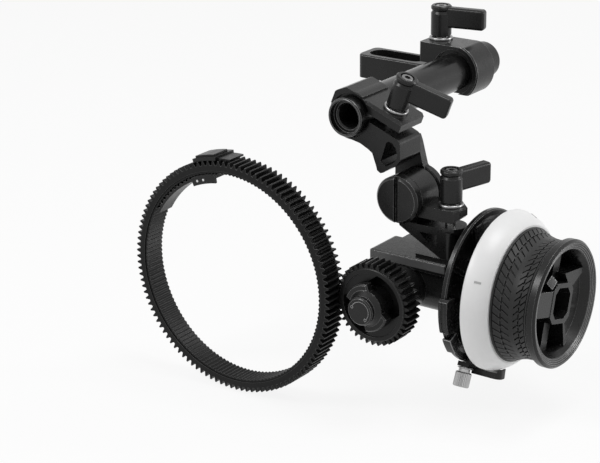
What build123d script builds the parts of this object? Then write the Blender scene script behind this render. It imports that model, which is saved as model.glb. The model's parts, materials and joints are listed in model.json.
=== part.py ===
from build123d import *
from math import acos, atan, cos, hypot, pi, radians, sin, sqrt, tan
import os

# Follow focus unit. Sizes are in millimetres and angles in degrees.
# The origin is the centre of the support rod's front end. +X points out to the
# handwheel, +Y back along the rod and +Z up.

# Fits, each per side
SLIDE_FIT = 0.05
TURN_FIT = 0.05
SEAT_FIT = 0.02
FACE_GAP = 0.3
THREAD_GAP = 0.06

# Support rod
ROD_R = 7.5
ROD_LENGTH = 102.0
ROD_BORE_R = 5.1
ROD_MOUTH_R = 6.4
ROD_MOUTH_DEPTH = 2.5
ROD_EDGE = 0.5

# Mount clamp on the rod's rear end
MOUNT_FRONT = 77.0
MOUNT_DEPTH = 14.0
MOUNT_WALL = 3.9
MOUNT_TOP_DROP = 0.9
MOUNT_BLOCK_OUT = 8.5
MOUNT_PLATE_OUT = 30.4
MOUNT_PLATE_TOP = 1.0
MOUNT_FLOOR_WALL = 1.4
MOUNT_SLIT = 1.2
MOUNT_CORNER_R = 2.8
MOUNT_EDGE = 0.5
MOUNT_RELIEF = 1.7
MOUNT_RELIEF_DEPTH = 1.5
TRACK_END = 2.7
TRACK_INNER_END = 0.8
TRACK_WIDE = 9.6
TRACK_NARROW = 6.6
TRACK_STEP = 4.5
MOUNT_STUD_OUT = 3.5
MOUNT_STUD_BACK = 8.5
MOUNT_STUD_FLOOR = 1.5

# Arm from the rod down to the tilting pivot
ARM_FRONT = 4.0
ARM_DEPTH = 14.0
ARM_WALL = 2.0
ARM_EAR_LEAN = 21.1
ARM_EAR_PROUD = 1.12
ARM_EAR_THICK = 3.9
ARM_EAR_BEVEL = 1.0
ARM_EAR_END = 21.2
ARM_EAR_OVER = 1.5
ARM_FLAT_PROUD = 1.8
ARM_STEP_AT = 2.4
ARM_EDGE = 0.5
ARM_CORNER_R = 2.2
ARM_RELIEF = 1.0
ARM_RELIEF_DEPTH = 1.5
ARM_STUD_ALONG = 13.5
ARM_STUD_HOLE = 15.0
ARM_PLATE_THICK = 3.5

# Pivot where the bracket tilts on the arm
PIVOT_X = 22.0
PIVOT_Z = -28.7
PIVOT_R = 6.2
PIVOT_FLANGE_R = 9.3
PIVOT_CAP_R = 9.1
PIVOT_CAP_THICK = 4.0
PIVOT_THREAD_R = 4.4
PIVOT_THREAD_LENGTH = 8.5
CAP_SLOT_WIDTH = 2.0
CAP_SLOT_DEPTH = 1.4
CAP_EDGE = 1.0

# Bracket between the pivot and the gearbox
BRACKET_WALL = 2.65
BRACKET_SET_BACK = 1.8
BRACKET_EDGE = 0.5
BRACKET_SPLIT = 1.0
BRACKET_SPLIT_WIDTH = 2.0
EAR_TOP = 1.5
EAR_THICK = 4.7
EAR_REACH = 23.9
EAR_SLIT = 2.8
LOWER_EAR_THICK = 2.2
EAR_END_R = 6.1
BRACKET_STUD_X = 17.3
POST_LEFT = 15.2
POST_RIGHT = 21.5
POST_EDGE_R = 2.4
FOOT_THICK = 1.3

# Clamping levers
STUD_R = 2.0
STUD_CLEARANCE = 0.1
STUD_LIFT = 0.05
WASHER_R = 4.8
WASHER_THICK = 1.2
HANDLE_R = 4.2
HANDLE_HEIGHT = 12.6
PADDLE_REACH = 18.8
PADDLE_THICK = 4.4
PADDLE_BOTTOM = 3.6
PADDLE_TOP = 12.0
PADDLE_CORNER_R = 1.4
PADDLE_END_R = 1.2
SERRATIONS = 12
SERRATION_R = 2.9
SERRATION_DEPTH = 0.35
SERRATION_START = 2.0
SERRATION_END = 4.7
SERRATION_PLAY = 0.12
COLLAR_PROUD = 0.2
NECK_HEIGHT = 10.3
NECK_HALF = 0.9
NECK_DEPTH = 0.6
SCREW_WELL = 6.5
SCREW_WELL_PLAY = 0.4
SCREW_HOLE_PLAY = 0.25
LEVER_LIFT = 3.0
LEVER_SCREW_R = 1.2
LEVER_SCREW_HEAD_R = 2.3
LEVER_SCREW_HEAD = 1.8
LEVER_SCREW_SUNK = 0.2
LEVER_KEY_R = 1.25
SPRING_WIRE = 0.35
SPRING_TURNS = 2
MOUNT_PADDLE_TURN = 11.0
ARM_PADDLE_TURN = 15.0
BRACKET_PADDLE_TURN = 75.0

# Gearbox: the two shafts cross at one point
CROSS_X = 24.6
CROSS_Y = 22.0
CROSS_Z = -63.0
BOX_LEFT = 16.6
BOX_EDGE_R = 2.6
BOX_RIGHT = 17.9
BOX_FRONT = 18.4
BOX_RECESS = 1.6
BOX_BAND = 4.6
BOX_TOP = 12.4
BOX_STEP_BACK = 1.7
BOX_REAR_TOP = 9.0
BOX_BACK = 9.0
BOX_BOTTOM = 10.2
BOX_UNDER_R = 9.0
BOX_ROOF = 4.6
COVER_THICK = 3.0
COVER_EDGE = 0.5
COVER_SCREW_INSET = 2.9
COVER_LIP = 1.0
NOSE_R = 8.8
NOSE_FRONT = 29.0
CAVITY_R = 7.4
BEVEL_TEETH = 12
BEVEL_R = 6.0
BEVEL_FACE = 3.2
BEVEL_ADDENDUM = 0.6
BEVEL_DEDENDUM = 0.9
BEVEL_PLAY = 0.35
BEVEL_HUB_R = 4.3
BEVEL_HUB = 3.0
SHAFT_R = 3.0
SHAFT_END_R = 2.0
BUSH_R = 4.5
BUSH_LENGTH = 3.5
RING_THICK = 0.6
RING_R = 4.4
RING_GROOVE = 0.35

# Drive gear and its quick release
GEAR_MODULE = 0.8
GEAR_TEETH = 38
GEAR_FRONT = 40.8
GEAR_WIDTH = 8.8
GEAR_PLAY = 0.2
GEAR_RECESS_R = 12.1
GEAR_RECESS_DEPTH = 4.8
GEAR_RECESS_TAPER = 0.6
GEAR_RIM_LAND = 0.6
GEAR_LAND_AT = 8.3
GEAR_LAND_DROP = 0.5
HUB_R = 6.2
HUB_FLANGE_R = 10.0
HUB_FLANGE = 2.0
HUB_PROUD = 0.2
HUB_EDGE = 0.4
KNOB_NECK_R = 6.6
KNOB_WAIST = 4.45
KNOB_WAIST_HALF = 3.6
KNOB_FLARE = 6.0
KNOB_R = 9.2
KNOB_WING = 3.4
KNOB_CONE_R = 7.0
KNOB_CONE = 1.9
KNOB_CAP_R = 5.4
KNOB_CAP = 2.0
KNOB_EDGE = 0.5
KNOB_TURN = -54.0
KNOB_STEM_R = 2.5
PIN_R = 0.8
PIN_OFFSET = 5.1
PIN_LENGTH = 3.1

# Gear ring round the lens
LENS_TEETH = 114
LENS_RING_BACK = 37.0
LENS_RING_WIDTH = 10.0
LENS_LINE = 180.6
LENS_BORE_R = 41.2
LENS_LINER = 1.2
LINER_NOTCHES = 150
LINER_NOTCH = 0.5
BUCKLE_AT = 103.5
BUCKLE_HALF = 6.8
BUCKLE_THICK = 2.2
BUCKLE_TONGUE = 7.0
CLIP_START = 98.0
CLIP_END = 115.0
CLIP_DEPTH = 3.2
CLIP_PINS = (106.5, 111.0)
CLIP_PIN_R = 0.5
STRAP_START = 98.0
STRAP_END = 150.0
STRAP_THICK = 1.6
STRAP_PITCH = 3.4

# Stop dish, stops and pointer
DISH_R = 29.6
DISH_RIM = 2.4
DISH_BACK = 22.6
DISH_FRONT = 25.0
DISH_STAND = 1.4
DISH_FLOOR = 2.3
DISH_FLOOR_R = 22.8
DISH_SLOPE = 1.9
DISH_EDGE = 0.5
DISH_CHANNEL = 1.0
DISH_BOSS_R = 9.0
DISH_BORE_R = 5.0
DISH_SCREW_AT = 6.7
DISH_RIBS = 8
DISH_RIB_FROM = 13.0
DISH_RIB_TO = 24.0
DISH_RIB_WIDE = 1.6
DISH_RIB_PROUD = 1.2
DISH_RIB_TURN = 12.0
CARRIAGE_GAP = 0.25
CARRIAGE_CHEEK = 1.3
CARRIAGE_HOOK = 1.1
CARRIAGE_SET_BACK = 0.3
STOP_A_FROM = 172.0
STOP_A_TO = 199.0
STOP_B_FROM = 204.0
STOP_B_TO = 218.0
STOP_A_THICK = 1.3
STOP_A_TAPER = 1.0
PANEL_DEPTH = 0.4
PANEL_FRAME = 2.0
PANEL_BORDER = 0.6
STOP_B_THICK = 1.0
POINTER_FROM = 241.0
POINTER_TO = 264.0
POINTER_THICK = 1.8
POINTER_BOSS = 0.6
POINTER_REACH = 37.0
POINTER_BAR = 12.0
POINTER_BAR_THICK = 2.4
POINTER_BAR_CLEAR = 0.6
POINTER_END_R = 2.8
POINTER_LIP = 1.2
POINTER_LIP_DROP = 1.0
THUMB_AT = 246.0
THUMB_R = 3.1
THUMB_LENGTH = 5.7
THUMB_STAND = 0.7
THUMB_COLLAR_R = 2.2
THUMB_COLLAR = 1.2
THUMB_SHANK_R = 1.5

# Handwheel and marking disk
DISK_R = 30.7
DISK_TAPER = 4.4
DISK_LIP = 1.8
DISK_BACK = 31.4
DISK_THICK = 9.5
DISK_EDGE = 0.6
DISK_RIM = 1.4
DISK_BULGE = 1.5
DISK_GAP = 0.2
WHEEL_BACK = 28.8
WHEEL_FACE = 58.8
WHEEL_HUB_R = 6.5
WHEEL_HUB_LIP = 1.4
WHEEL_BACK_DISC = 2.2
WHEEL_TUBE_R = 18.6
GRIP_SEAT_R = 21.1
GRIP_BACK_R = 25.6
GRIP_WAIST_R = 22.8
GRIP_FRONT_R = 23.3
GRIP_LENGTH = 13.6
GRIP_WAIST_AT = 0.72
WHEEL_FLANGE_R = 24.3
WHEEL_LIP_R = 23.2
WHEEL_MOUTH_R = 20.6
WHEEL_MOUTH_DROP = 1.2
WHEEL_MOUTH_DEPTH = 4.5
WHEEL_EDGE = 0.9
WHEEL_WEB = 3.0
WHEEL_WEB_FRONT = 11.4
SOCKET_SIDE = 11.8
SOCKET_CHAMFER = 2.5
SOCKET_WALL = 1.7
SOCKET_SET_BACK = 1.9
FACE_TURN = -15.5
FACE_PLATE_HIGH = 9.5
FACE_PLATE_DROP = 0.2
FACE_FAN_DROP = 0.8
FACE_SCOOP_DEPTH = 3.4
FACE_RIB_WIDE = 4.6
FACE_RIB_HIGH = 5.0
SHAFT_FLAT = 0.6
WHEEL_SCREW_R = 1.75
WHEEL_SCREW_LENGTH = 10.5
WHEEL_SCREW_HEAD_R = 3.5
WHEEL_SCREW_HEAD = 2.4

# Screws
SMALL_SCREW_R = 1.0
SMALL_HEAD_R = 1.9
SMALL_HEAD = 1.2
SMALL_SCREW_LENGTH = 6.5
BIG_SCREW_R = 1.25
BIG_HEAD_R = 2.25
BIG_HEAD = 2.4
BIG_SCREW_REACH = 6.0

# Positions that follow from the sizes above
MOUNT_RING_R = ROD_R + MOUNT_WALL
MOUNT_TOP = MOUNT_RING_R - MOUNT_TOP_DROP
MOUNT_MIDDLE = MOUNT_FRONT + MOUNT_DEPTH / 2
MOUNT_PLATE_BOTTOM = -(ROD_R + MOUNT_FLOOR_WALL)
MOUNT_BLOCK_REACH = ROD_R + MOUNT_BLOCK_OUT
MOUNT_PLATE_REACH = MOUNT_BLOCK_REACH + MOUNT_PLATE_OUT
MOUNT_STUD_X = -(ROD_R + MOUNT_STUD_OUT)
MOUNT_STUD_Y = MOUNT_FRONT + MOUNT_STUD_BACK
ARM_BACK = ARM_FRONT + ARM_DEPTH
ARM_PLATE_BACK = ARM_BACK + ARM_PLATE_THICK
ARM_EAR_LEVEL = ROD_R + ARM_EAR_PROUD
ARM_FLAT_LEVEL = ROD_R + ARM_FLAT_PROUD
ARM_RING_R = ROD_R + ARM_WALL
ARM_STUD_Y = ARM_FRONT + ARM_DEPTH / 2
BRACKET_FRONT = ARM_FRONT + BRACKET_SET_BACK
BRACKET_BACK = ARM_BACK - FACE_GAP
BRACKET_RING_R = PIVOT_R + TURN_FIT + BRACKET_WALL
BRACKET_STUD_Y = (BRACKET_FRONT + BRACKET_BACK) / 2 + 0.55
EAR_Z = PIVOT_Z - EAR_TOP
SLIT_TOP = EAR_Z - EAR_THICK
SLIT_BOTTOM = SLIT_TOP - EAR_SLIT
LOWER_EAR_BOTTOM = SLIT_BOTTOM - LOWER_EAR_THICK
BOX_X0 = CROSS_X - BOX_LEFT
BOX_X1 = CROSS_X + BOX_RIGHT
BOX_Y0 = CROSS_Y - BOX_FRONT
BOX_Y1 = CROSS_Y + BOX_BACK
BOX_Z0 = CROSS_Z - BOX_BOTTOM
BOX_Z1 = CROSS_Z + BOX_TOP
NOSE_Y = CROSS_Y - NOSE_FRONT
WALL_AT = BEVEL_R + BEVEL_HUB + 0.4
GEAR_Y = CROSS_Y - GEAR_FRONT
GEAR_BACK_Y = GEAR_Y + GEAR_WIDTH
GEAR_WEB_Y = GEAR_Y + GEAR_RECESS_DEPTH
GEAR_ROOT_R = (GEAR_TEETH / 2 - 1.25) * GEAR_MODULE
HUB_FRONT = GEAR_WEB_Y - HUB_PROUD
KNOB_BACK = GEAR_Y - FACE_GAP
KNOB_FRONT = KNOB_BACK - KNOB_WING
CAP_BACK = KNOB_FRONT - KNOB_CONE
LENS_DISTANCE = (GEAR_TEETH + LENS_TEETH) * GEAR_MODULE / 2
LENS_X = CROSS_X + LENS_DISTANCE * cos(radians(LENS_LINE))
LENS_Z = CROSS_Z + LENS_DISTANCE * sin(radians(LENS_LINE))
LENS_TIP_R = LENS_TEETH * GEAR_MODULE / 2 + GEAR_MODULE
LENS_Y1 = CROSS_Y - LENS_RING_BACK
LENS_Y0 = LENS_Y1 - LENS_RING_WIDTH
LENS_BODY_R = LENS_BORE_R + LENS_LINER
DISH_X0 = CROSS_X + DISH_BACK
DISH_X1 = CROSS_X + DISH_FRONT
DISH_FLOOR_X = BOX_X1 + DISH_STAND
DISH_INNER_R = DISH_R - DISH_RIM
CHEEK_X = DISH_X1 + CARRIAGE_GAP
CARRIAGE_X1 = CHEEK_X + CARRIAGE_CHEEK
DISK_FRONT_R = DISK_R - DISK_TAPER
DISK_BORE_R = DISK_FRONT_R - DISK_LIP
DISK_X0 = CROSS_X + DISK_BACK
DISK_X1 = DISK_X0 + DISK_THICK
WHEEL_X0 = CROSS_X + WHEEL_BACK
WHEEL_X1 = CROSS_X + WHEEL_FACE
SOCKET_X = WHEEL_X1 - SOCKET_SET_BACK
WEB_X1 = WHEEL_X1 - WHEEL_WEB_FRONT
SHAFT_TIP_X = WEB_X1 - WHEEL_WEB - 0.5

UP = (Align.CENTER, Align.CENTER, Align.MIN)


def block(x0, x1, y0, y1, z0, z1):
    """A rectangular block between two corners."""
    middle = ((x0 + x1) / 2, (y0 + y1) / 2, (z0 + z1) / 2)
    return Pos(*middle) * Box(x1 - x0, y1 - y0, z1 - z0)


def bar_x(r, x0, x1, y, z):
    """A round bar along X."""
    return Plane((x0, y, z), x_dir=(0, 1, 0), z_dir=(1, 0, 0)).location * Cylinder(r, x1 - x0, align=UP)


def bar_y(r, y0, y1, x, z):
    """A round bar along Y."""
    return Plane((x, y0, z), x_dir=(1, 0, 0), z_dir=(0, 1, 0)).location * Cylinder(r, y1 - y0, align=UP)


def bar_z(r, z0, z1, x, y):
    """A round bar along Z."""
    return Pos(x, y, z0) * Cylinder(r, z1 - z0, align=UP)


def slab_x(outline, x0, x1):
    """A slab along X from an outline in (y, z)."""
    face = make_face(Polyline(*[(x0, y, z) for y, z in outline], close=True))
    return extrude(face, amount=x1 - x0, dir=(1, 0, 0))


def slab_y(outline, y0, y1):
    """A slab along Y from an outline in (x, z)."""
    face = make_face(Polyline(*[(x, y0, z) for x, z in outline], close=True))
    return extrude(face, amount=y1 - y0, dir=(0, 1, 0))


def slab_z(outline, z0, z1):
    """A slab along Z from an outline in (x, y)."""
    face = make_face(Polyline(*[(x, y, z0) for x, y in outline], close=True))
    return extrude(face, amount=z1 - z0, dir=(0, 0, 1))


def turned(profile):
    """A turned piece about the local Z axis from an outline in (radius, height)."""
    return revolve(make_face(Polyline(*[(r, 0, z) for r, z in profile], close=True)), Axis.Z, 360)


def along_wheel(shape):
    """Puts a piece drawn about local Z on the wheel's axis. Local X is +Y and local Y is +Z."""
    return Plane((0, CROSS_Y, CROSS_Z), x_dir=(0, 1, 0), z_dir=(1, 0, 0)).location * shape


def along_drive(shape):
    """Puts a piece drawn about local Z on the drive gear's axis, with local X on +X."""
    return Plane((CROSS_X, 0, CROSS_Z), x_dir=(1, 0, 0), z_dir=(0, 1, 0)).location * shape


def sector(r0, r1, z0, z1, start, end):
    """A part of a tube about local Z between two angles."""
    ring = Cylinder(r1, z1 - z0, align=UP) - Cylinder(r0, z1 - z0, align=UP)
    reach = 2 * r1
    middle = (start + end) / 2
    corners = [(0, 0)]
    corners += [(reach * cos(radians(a)), reach * sin(radians(a))) for a in (start, middle, end)]
    return Pos(0, 0, z0) * (ring & slab_z(corners, 0, z1 - z0))


def screw(r, length, head_r, head, key):
    """A cap screw that points down, with its head resting on the local XY plane."""
    body = Pos(0, 0, -length) * Cylinder(r, length, align=UP)
    body += Cylinder(head_r, head, align=UP)
    socket = Pos(0, 0, head * 0.4) * extrude(RegularPolygon(key, 6), head)
    return chamfer(body.edges().group_by(Axis.Z)[-1], 0.2) - socket


def support_rod():
    rod = bar_y(ROD_R, 0, ROD_LENGTH, 0, 0)
    rod = chamfer(rod.edges(), ROD_EDGE)
    rod -= bar_y(ROD_BORE_R, 0, ROD_LENGTH, 0, 0)
    rod -= bar_y(ROD_MOUTH_R, 0, ROD_MOUTH_DEPTH, 0, 0)
    rod -= bar_y(ROD_MOUTH_R, ROD_LENGTH - ROD_MOUTH_DEPTH, ROD_LENGTH, 0, 0)
    return rod


def track_slot(width, x0, x1, z0, z1):
    """A slot along X with round ends, in the middle of the mounting plate."""
    r = width / 2
    slot = block(x0 + r, x1 - r, MOUNT_MIDDLE - r, MOUNT_MIDDLE + r, z0, z1)
    slot += bar_z(r, z0, z1, x0 + r, MOUNT_MIDDLE)
    slot += bar_z(r, z0, z1, x1 - r, MOUNT_MIDDLE)
    return slot


def mount_clamp():
    """Split clamp for the rod's rear end, with a slotted plate for the camera rig."""
    back = MOUNT_FRONT + MOUNT_DEPTH
    front = MOUNT_FRONT
    slit_top = MOUNT_PLATE_TOP + MOUNT_SLIT
    plate = block(-MOUNT_PLATE_REACH, 0, front, back, MOUNT_PLATE_BOTTOM, MOUNT_PLATE_TOP)
    plate = fillet(plate.edges().filter_by(Axis.Z).group_by(Axis.X)[0], MOUNT_CORNER_R)
    plate = chamfer(plate.edges().filter_by(Axis.X).group_by(Axis.Z)[-1], MOUNT_EDGE)
    top = block(-MOUNT_BLOCK_REACH, 0, front, back, slit_top, MOUNT_TOP)
    top = chamfer(top.edges().group_by(Axis.X)[0].filter_by(Axis.Z), MOUNT_EDGE)
    joint = block(-ROD_R, 0, front, back, MOUNT_PLATE_TOP, slit_top)
    ring = bar_y(MOUNT_RING_R, front, back, 0, 0)
    ring = chamfer(ring.edges(), MOUNT_EDGE)
    clamp = plate + top + joint + ring
    over = 2 * MOUNT_RING_R
    clamp -= block(-over, over, front - 1, back + 1, MOUNT_TOP, over)
    clamp -= block(-over, over, front - 1, back + 1, -over, MOUNT_PLATE_BOTTOM)
    clamp -= block(-over, -ROD_R / 2, front - 1, back + 1, MOUNT_PLATE_TOP, slit_top)
    clamp -= bar_y(ROD_R + SLIDE_FIT, front - 1, back + 1, 0, 0)
    clamp -= bar_y(ROD_R + MOUNT_RELIEF, front - 1, front + MOUNT_RELIEF_DEPTH, 0, 0)
    left = -MOUNT_PLATE_REACH + TRACK_END
    right = -MOUNT_BLOCK_REACH - TRACK_INNER_END
    inset = (TRACK_WIDE - TRACK_NARROW) / 2
    clamp -= track_slot(TRACK_WIDE, left, right, MOUNT_PLATE_TOP - TRACK_STEP, slit_top)
    clamp -= track_slot(TRACK_NARROW, left + inset, right - inset, MOUNT_PLATE_BOTTOM - 1, slit_top)
    hole_r = STUD_R + STUD_CLEARANCE
    clamp -= bar_z(hole_r, MOUNT_PLATE_BOTTOM + MOUNT_STUD_FLOOR, MOUNT_TOP + 1, MOUNT_STUD_X, MOUNT_STUD_Y)
    return clamp


def ear_point(along, level):
    """A point (x, z) from its place along and above the arm's leaning ear."""
    lean = radians(ARM_EAR_LEAN)
    return (along * cos(lean) + level * sin(lean), level * cos(lean) - along * sin(lean))


def round_rod(angle, proud):
    """A point (x, z) at an angle from +X towards +Z, a little above or below the clamp ring's outside."""
    r = ARM_RING_R + proud
    return (r * cos(radians(angle)), r * sin(radians(angle)))


def arm_outline():
    """The arm below the slit, as an outline in (x, z)."""
    return [
        round_rod(260.4, -0.5), round_rod(293.5, 1.5), (8.0, -11.8), (9.8, -13.0), (11.6, -17.8), (12.0, -19.3),
        (13.4, -20.2), (14.7, -19.8), (20.4, -15.8), (22.2, -14.0), (22.1, -6.6), (15.5, -3.9), (9.8, -1.8),
        (6.0, -1.0), (0.0, 0.0),
    ]


def arm_window():
    """The D-shaped window through the arm."""
    outline = [
        (16.0, -7.9), (17.0, -7.3), (18.6, -7.6), (20.2, -9.4), (20.9, -11.7), (20.3, -14.2), (18.2, -15.9),
        (16.0, -17.2), (15.0, -17.0), (13.5, -15.5),
    ]
    return slab_y(outline, ARM_FRONT - 1, ARM_PLATE_BACK + 1)


def arm_clamp():
    """Split ring round the rod, with a faceted shoulder and the leaning ear."""
    lean = radians(ARM_EAR_LEAN)
    under = ARM_EAR_LEVEL - ARM_EAR_THICK
    far = 2 * ARM_RING_R
    ring = bar_y(ARM_RING_R, ARM_FRONT, ARM_PLATE_BACK, 0, 0)
    ring = chamfer(ring.edges(), ARM_EDGE)
    slit = [ear_point(4.0, under), ear_point(12.0, under), (12.0, -2.6), (9.8, -1.8), (5.0, -0.4)]
    over = [ear_point(ARM_STEP_AT, ARM_EAR_LEVEL), ear_point(far, ARM_EAR_LEVEL), ear_point(far, far),
            ear_point(ARM_STEP_AT, far)]
    ring -= slab_y(slit, ARM_FRONT - 1, ARM_PLATE_BACK + 1)
    ring -= slab_y(over, ARM_FRONT - 1, ARM_PLATE_BACK + 1)
    shoulder = [round_rod(157.0, 0.0), round_rod(129.0, 1.3), round_rod(123.2, 1.25), round_rod(99.6, 1.3),
                ear_point(ARM_STEP_AT, ARM_FLAT_LEVEL), ear_point(ARM_STEP_AT, under), (0, 0)]
    ends = ((ARM_STEP_AT, ARM_EAR_LEVEL), (ARM_EAR_END - ARM_EAR_BEVEL, ARM_EAR_LEVEL),
            (ARM_EAR_END, ARM_EAR_LEVEL - ARM_EAR_BEVEL), (ARM_EAR_END, under), (ARM_STEP_AT, under))
    ear = slab_y([ear_point(a, n) for a, n in ends], ARM_FRONT, ARM_BACK + ARM_EAR_OVER)
    ear_top = ear.faces().sort_by(Axis((0, 0, 0), (sin(lean), 0, cos(lean))))[-1]
    ear = chamfer(ear_top.edges().group_by(Axis.Y)[0], ARM_EAR_BEVEL)
    return ring + slab_y(shoulder, ARM_FRONT, ARM_PLATE_BACK) + ear


def arm_plate():
    """Plate behind the arm that carries the pivot barrel."""
    outline = [(8.0, -8.0), (20.1, -8.0), (21.1, -10.6), (23.4, -19.2), (PIVOT_X + 4.5, PIVOT_Z + 5.7),
               (PIVOT_X, PIVOT_Z), (PIVOT_X - 8.5, PIVOT_Z - 2.8), (11.0, PIVOT_Z + 1.7), (11.0, -17.0),
               (8.0, -11.8)]
    flange = bar_y(PIVOT_FLANGE_R, ARM_BACK, ARM_PLATE_BACK, PIVOT_X, PIVOT_Z)
    return slab_y(outline, ARM_BACK, ARM_PLATE_BACK) + chamfer(flange.edges(), ARM_EDGE)


def arm_body():
    """Rod clamp, offset arm, rear flange and pivot barrel in one piece."""
    body = slab_y(arm_outline(), ARM_FRONT, ARM_BACK)
    right = body.edges().filter_by(Axis.Y).group_by(Axis.X)[-2:]
    body = fillet(right[0] + right[1], ARM_CORNER_R)
    body += arm_clamp() + arm_plate()
    body += bar_y(PIVOT_R, BRACKET_FRONT - FACE_GAP, ARM_BACK + 1, PIVOT_X, PIVOT_Z)
    body -= bar_y(ROD_R + SLIDE_FIT, ARM_FRONT - 1, ARM_PLATE_BACK + 1, 0, 0)
    body -= bar_y(ROD_R + ARM_RELIEF, ARM_FRONT - 1, ARM_FRONT + ARM_RELIEF_DEPTH, 0, 0)
    body -= arm_window()
    thread_end = BRACKET_FRONT + PIVOT_THREAD_LENGTH + 0.5
    body -= bar_y(PIVOT_THREAD_R + THREAD_GAP, ARM_FRONT - 1, thread_end, PIVOT_X, PIVOT_Z)
    hole = Pos(0, 0, -ARM_STUD_HOLE) * Cylinder(STUD_R + STUD_CLEARANCE, ARM_STUD_HOLE + 2, align=UP)
    return body - arm_ear_place().location * hole


def arm_ear_place():
    """Where the arm's lever stands, with local Z square to the ear."""
    x, z = ear_point(ARM_STUD_ALONG, ARM_EAR_LEVEL)
    lean = radians(ARM_EAR_LEAN)
    turn = radians(ARM_PADDLE_TURN)
    paddle = (cos(turn) * cos(lean), sin(turn), -cos(turn) * sin(lean))
    return Plane((x, ARM_STUD_Y, z), x_dir=paddle, z_dir=(sin(lean), 0, cos(lean)))


def upright_place(x, y, z, turn):
    """Where an upright lever stands, with its paddle turned from +X towards +Y."""
    return Plane((x, y, z), x_dir=(cos(radians(turn)), sin(radians(turn)), 0), z_dir=(0, 0, 1))


def arm_pivot_cap():
    """Slotted cap with a thread into the pivot barrel."""
    front = BRACKET_FRONT - FACE_GAP - PIVOT_CAP_THICK
    cap = bar_y(PIVOT_CAP_R, front, front + PIVOT_CAP_THICK, PIVOT_X, PIVOT_Z)
    cap = chamfer(cap.edges().group_by(Axis.Y)[0], CAP_EDGE)
    cap += bar_y(PIVOT_THREAD_R, front, BRACKET_FRONT + PIVOT_THREAD_LENGTH, PIVOT_X, PIVOT_Z)
    half = CAP_SLOT_WIDTH / 2
    return cap - block(PIVOT_X - half, PIVOT_X + half, front - 1, front + CAP_SLOT_DEPTH,
                       PIVOT_Z - 2 * PIVOT_CAP_R, PIVOT_Z + 2 * PIVOT_CAP_R)


def upper_ear():
    """Upper clamp ear, with a squared end that clears the stop dish."""
    end = PIVOT_X + EAR_REACH
    ear = block(PIVOT_X, end, BRACKET_FRONT, BRACKET_BACK, SLIT_TOP, EAR_Z)
    for row, size in ((0, 1.5), (-1, 4.5)):
        corner = ear.edges().filter_by(Axis.Z).group_by(Axis.Y)[row].group_by(Axis.X)[-1]
        ear = chamfer(corner, size)
    under = [(end - 2.4, SLIT_TOP), (end, SLIT_TOP + 2.0), (end + 1, SLIT_TOP + 2.0), (end + 1, SLIT_TOP - 1),
             (end - 2.4, SLIT_TOP - 1)]
    return ear - slab_y(under, BRACKET_FRONT - 1, BRACKET_BACK + 1)


def lower_ear():
    """Lower clamp ear, round about the lever's stud."""
    x = PIVOT_X + BRACKET_STUD_X
    ear = block(PIVOT_X, x, BRACKET_FRONT, BRACKET_BACK, LOWER_EAR_BOTTOM, SLIT_BOTTOM)
    return ear + bar_z(EAR_END_R, LOWER_EAR_BOTTOM, SLIT_BOTTOM, x, BRACKET_STUD_Y)


def bracket_strut():
    """Post and slanting strut with a triangular window between them."""
    right = PIVOT_X + POST_RIGHT
    strut = slab_y(
        [(PIVOT_X - 2.5, PIVOT_Z - 7.5), (PIVOT_X - 1.0, PIVOT_Z - 11.1), (PIVOT_X + 19.0, BOX_Z1 + 0.2),
         (PIVOT_X + 19.0, BOX_Z1), (right, BOX_Z1), (right, LOWER_EAR_BOTTOM + 1), (PIVOT_X, SLIT_BOTTOM - 1)],
        BRACKET_FRONT, BRACKET_BACK)
    strut = fillet(strut.edges().filter_by(Axis.Z).group_by(Axis.X)[-1].group_by(Axis.Y)[0], POST_EDGE_R)
    window = [(PIVOT_X + 7.4, LOWER_EAR_BOTTOM - 0.6), (PIVOT_X + POST_LEFT, LOWER_EAR_BOTTOM - 0.6),
              (PIVOT_X + POST_LEFT, BOX_Z1 + 2.8)]
    return strut - slab_y(window, BRACKET_FRONT - 1, BRACKET_BACK + 1)


def bracket_body():
    """Clamp ring, two ears, post, strut and foot in one piece."""
    ring = bar_y(BRACKET_RING_R, BRACKET_FRONT, BRACKET_BACK, PIVOT_X, PIVOT_Z)
    ring = chamfer(ring.edges(), BRACKET_EDGE)
    foot = slab_z(
        [(PIVOT_X + 6.4, BRACKET_FRONT - 0.3), (PIVOT_X + 20.3, BRACKET_FRONT - 0.3),
         (PIVOT_X + 20.3, BRACKET_BACK), (PIVOT_X - 1.1, BRACKET_BACK)],
        BOX_Z1, BOX_Z1 + FOOT_THICK)
    body = ring + bracket_strut() + upper_ear() + lower_ear() + foot
    split = PIVOT_X + BRACKET_SPLIT
    far = PIVOT_X + 2 * EAR_REACH
    body -= block(split, far, BRACKET_FRONT - 1, BRACKET_BACK + 1, SLIT_BOTTOM, SLIT_TOP)
    body -= block(split, split + BRACKET_SPLIT_WIDTH, BRACKET_FRONT - 1, BRACKET_BACK + 1, SLIT_BOTTOM,
                  PIVOT_Z - PIVOT_R / 2)
    body -= bar_y(PIVOT_R + TURN_FIT, BRACKET_FRONT - 1, BRACKET_BACK + 1, PIVOT_X, PIVOT_Z)
    stud_x = PIVOT_X + BRACKET_STUD_X
    body -= bar_z(STUD_R + STUD_CLEARANCE, LOWER_EAR_BOTTOM - 0.4, EAR_Z + 1, stud_x, BRACKET_STUD_Y)
    for x, y in bracket_screw_places():
        body -= bar_z(BIG_SCREW_R + THREAD_GAP, BOX_Z1 - 1, BOX_Z1 + BIG_SCREW_REACH + 0.5, x, y)
    return body


def bracket_screw_places():
    """Where the two screws rise through the gearbox's roof into the bracket's foot."""
    x = CROSS_X + BOX_RIGHT - 2.8
    return [(x, BRACKET_FRONT + 2.9), (x, BRACKET_FRONT + 7.6)]


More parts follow.
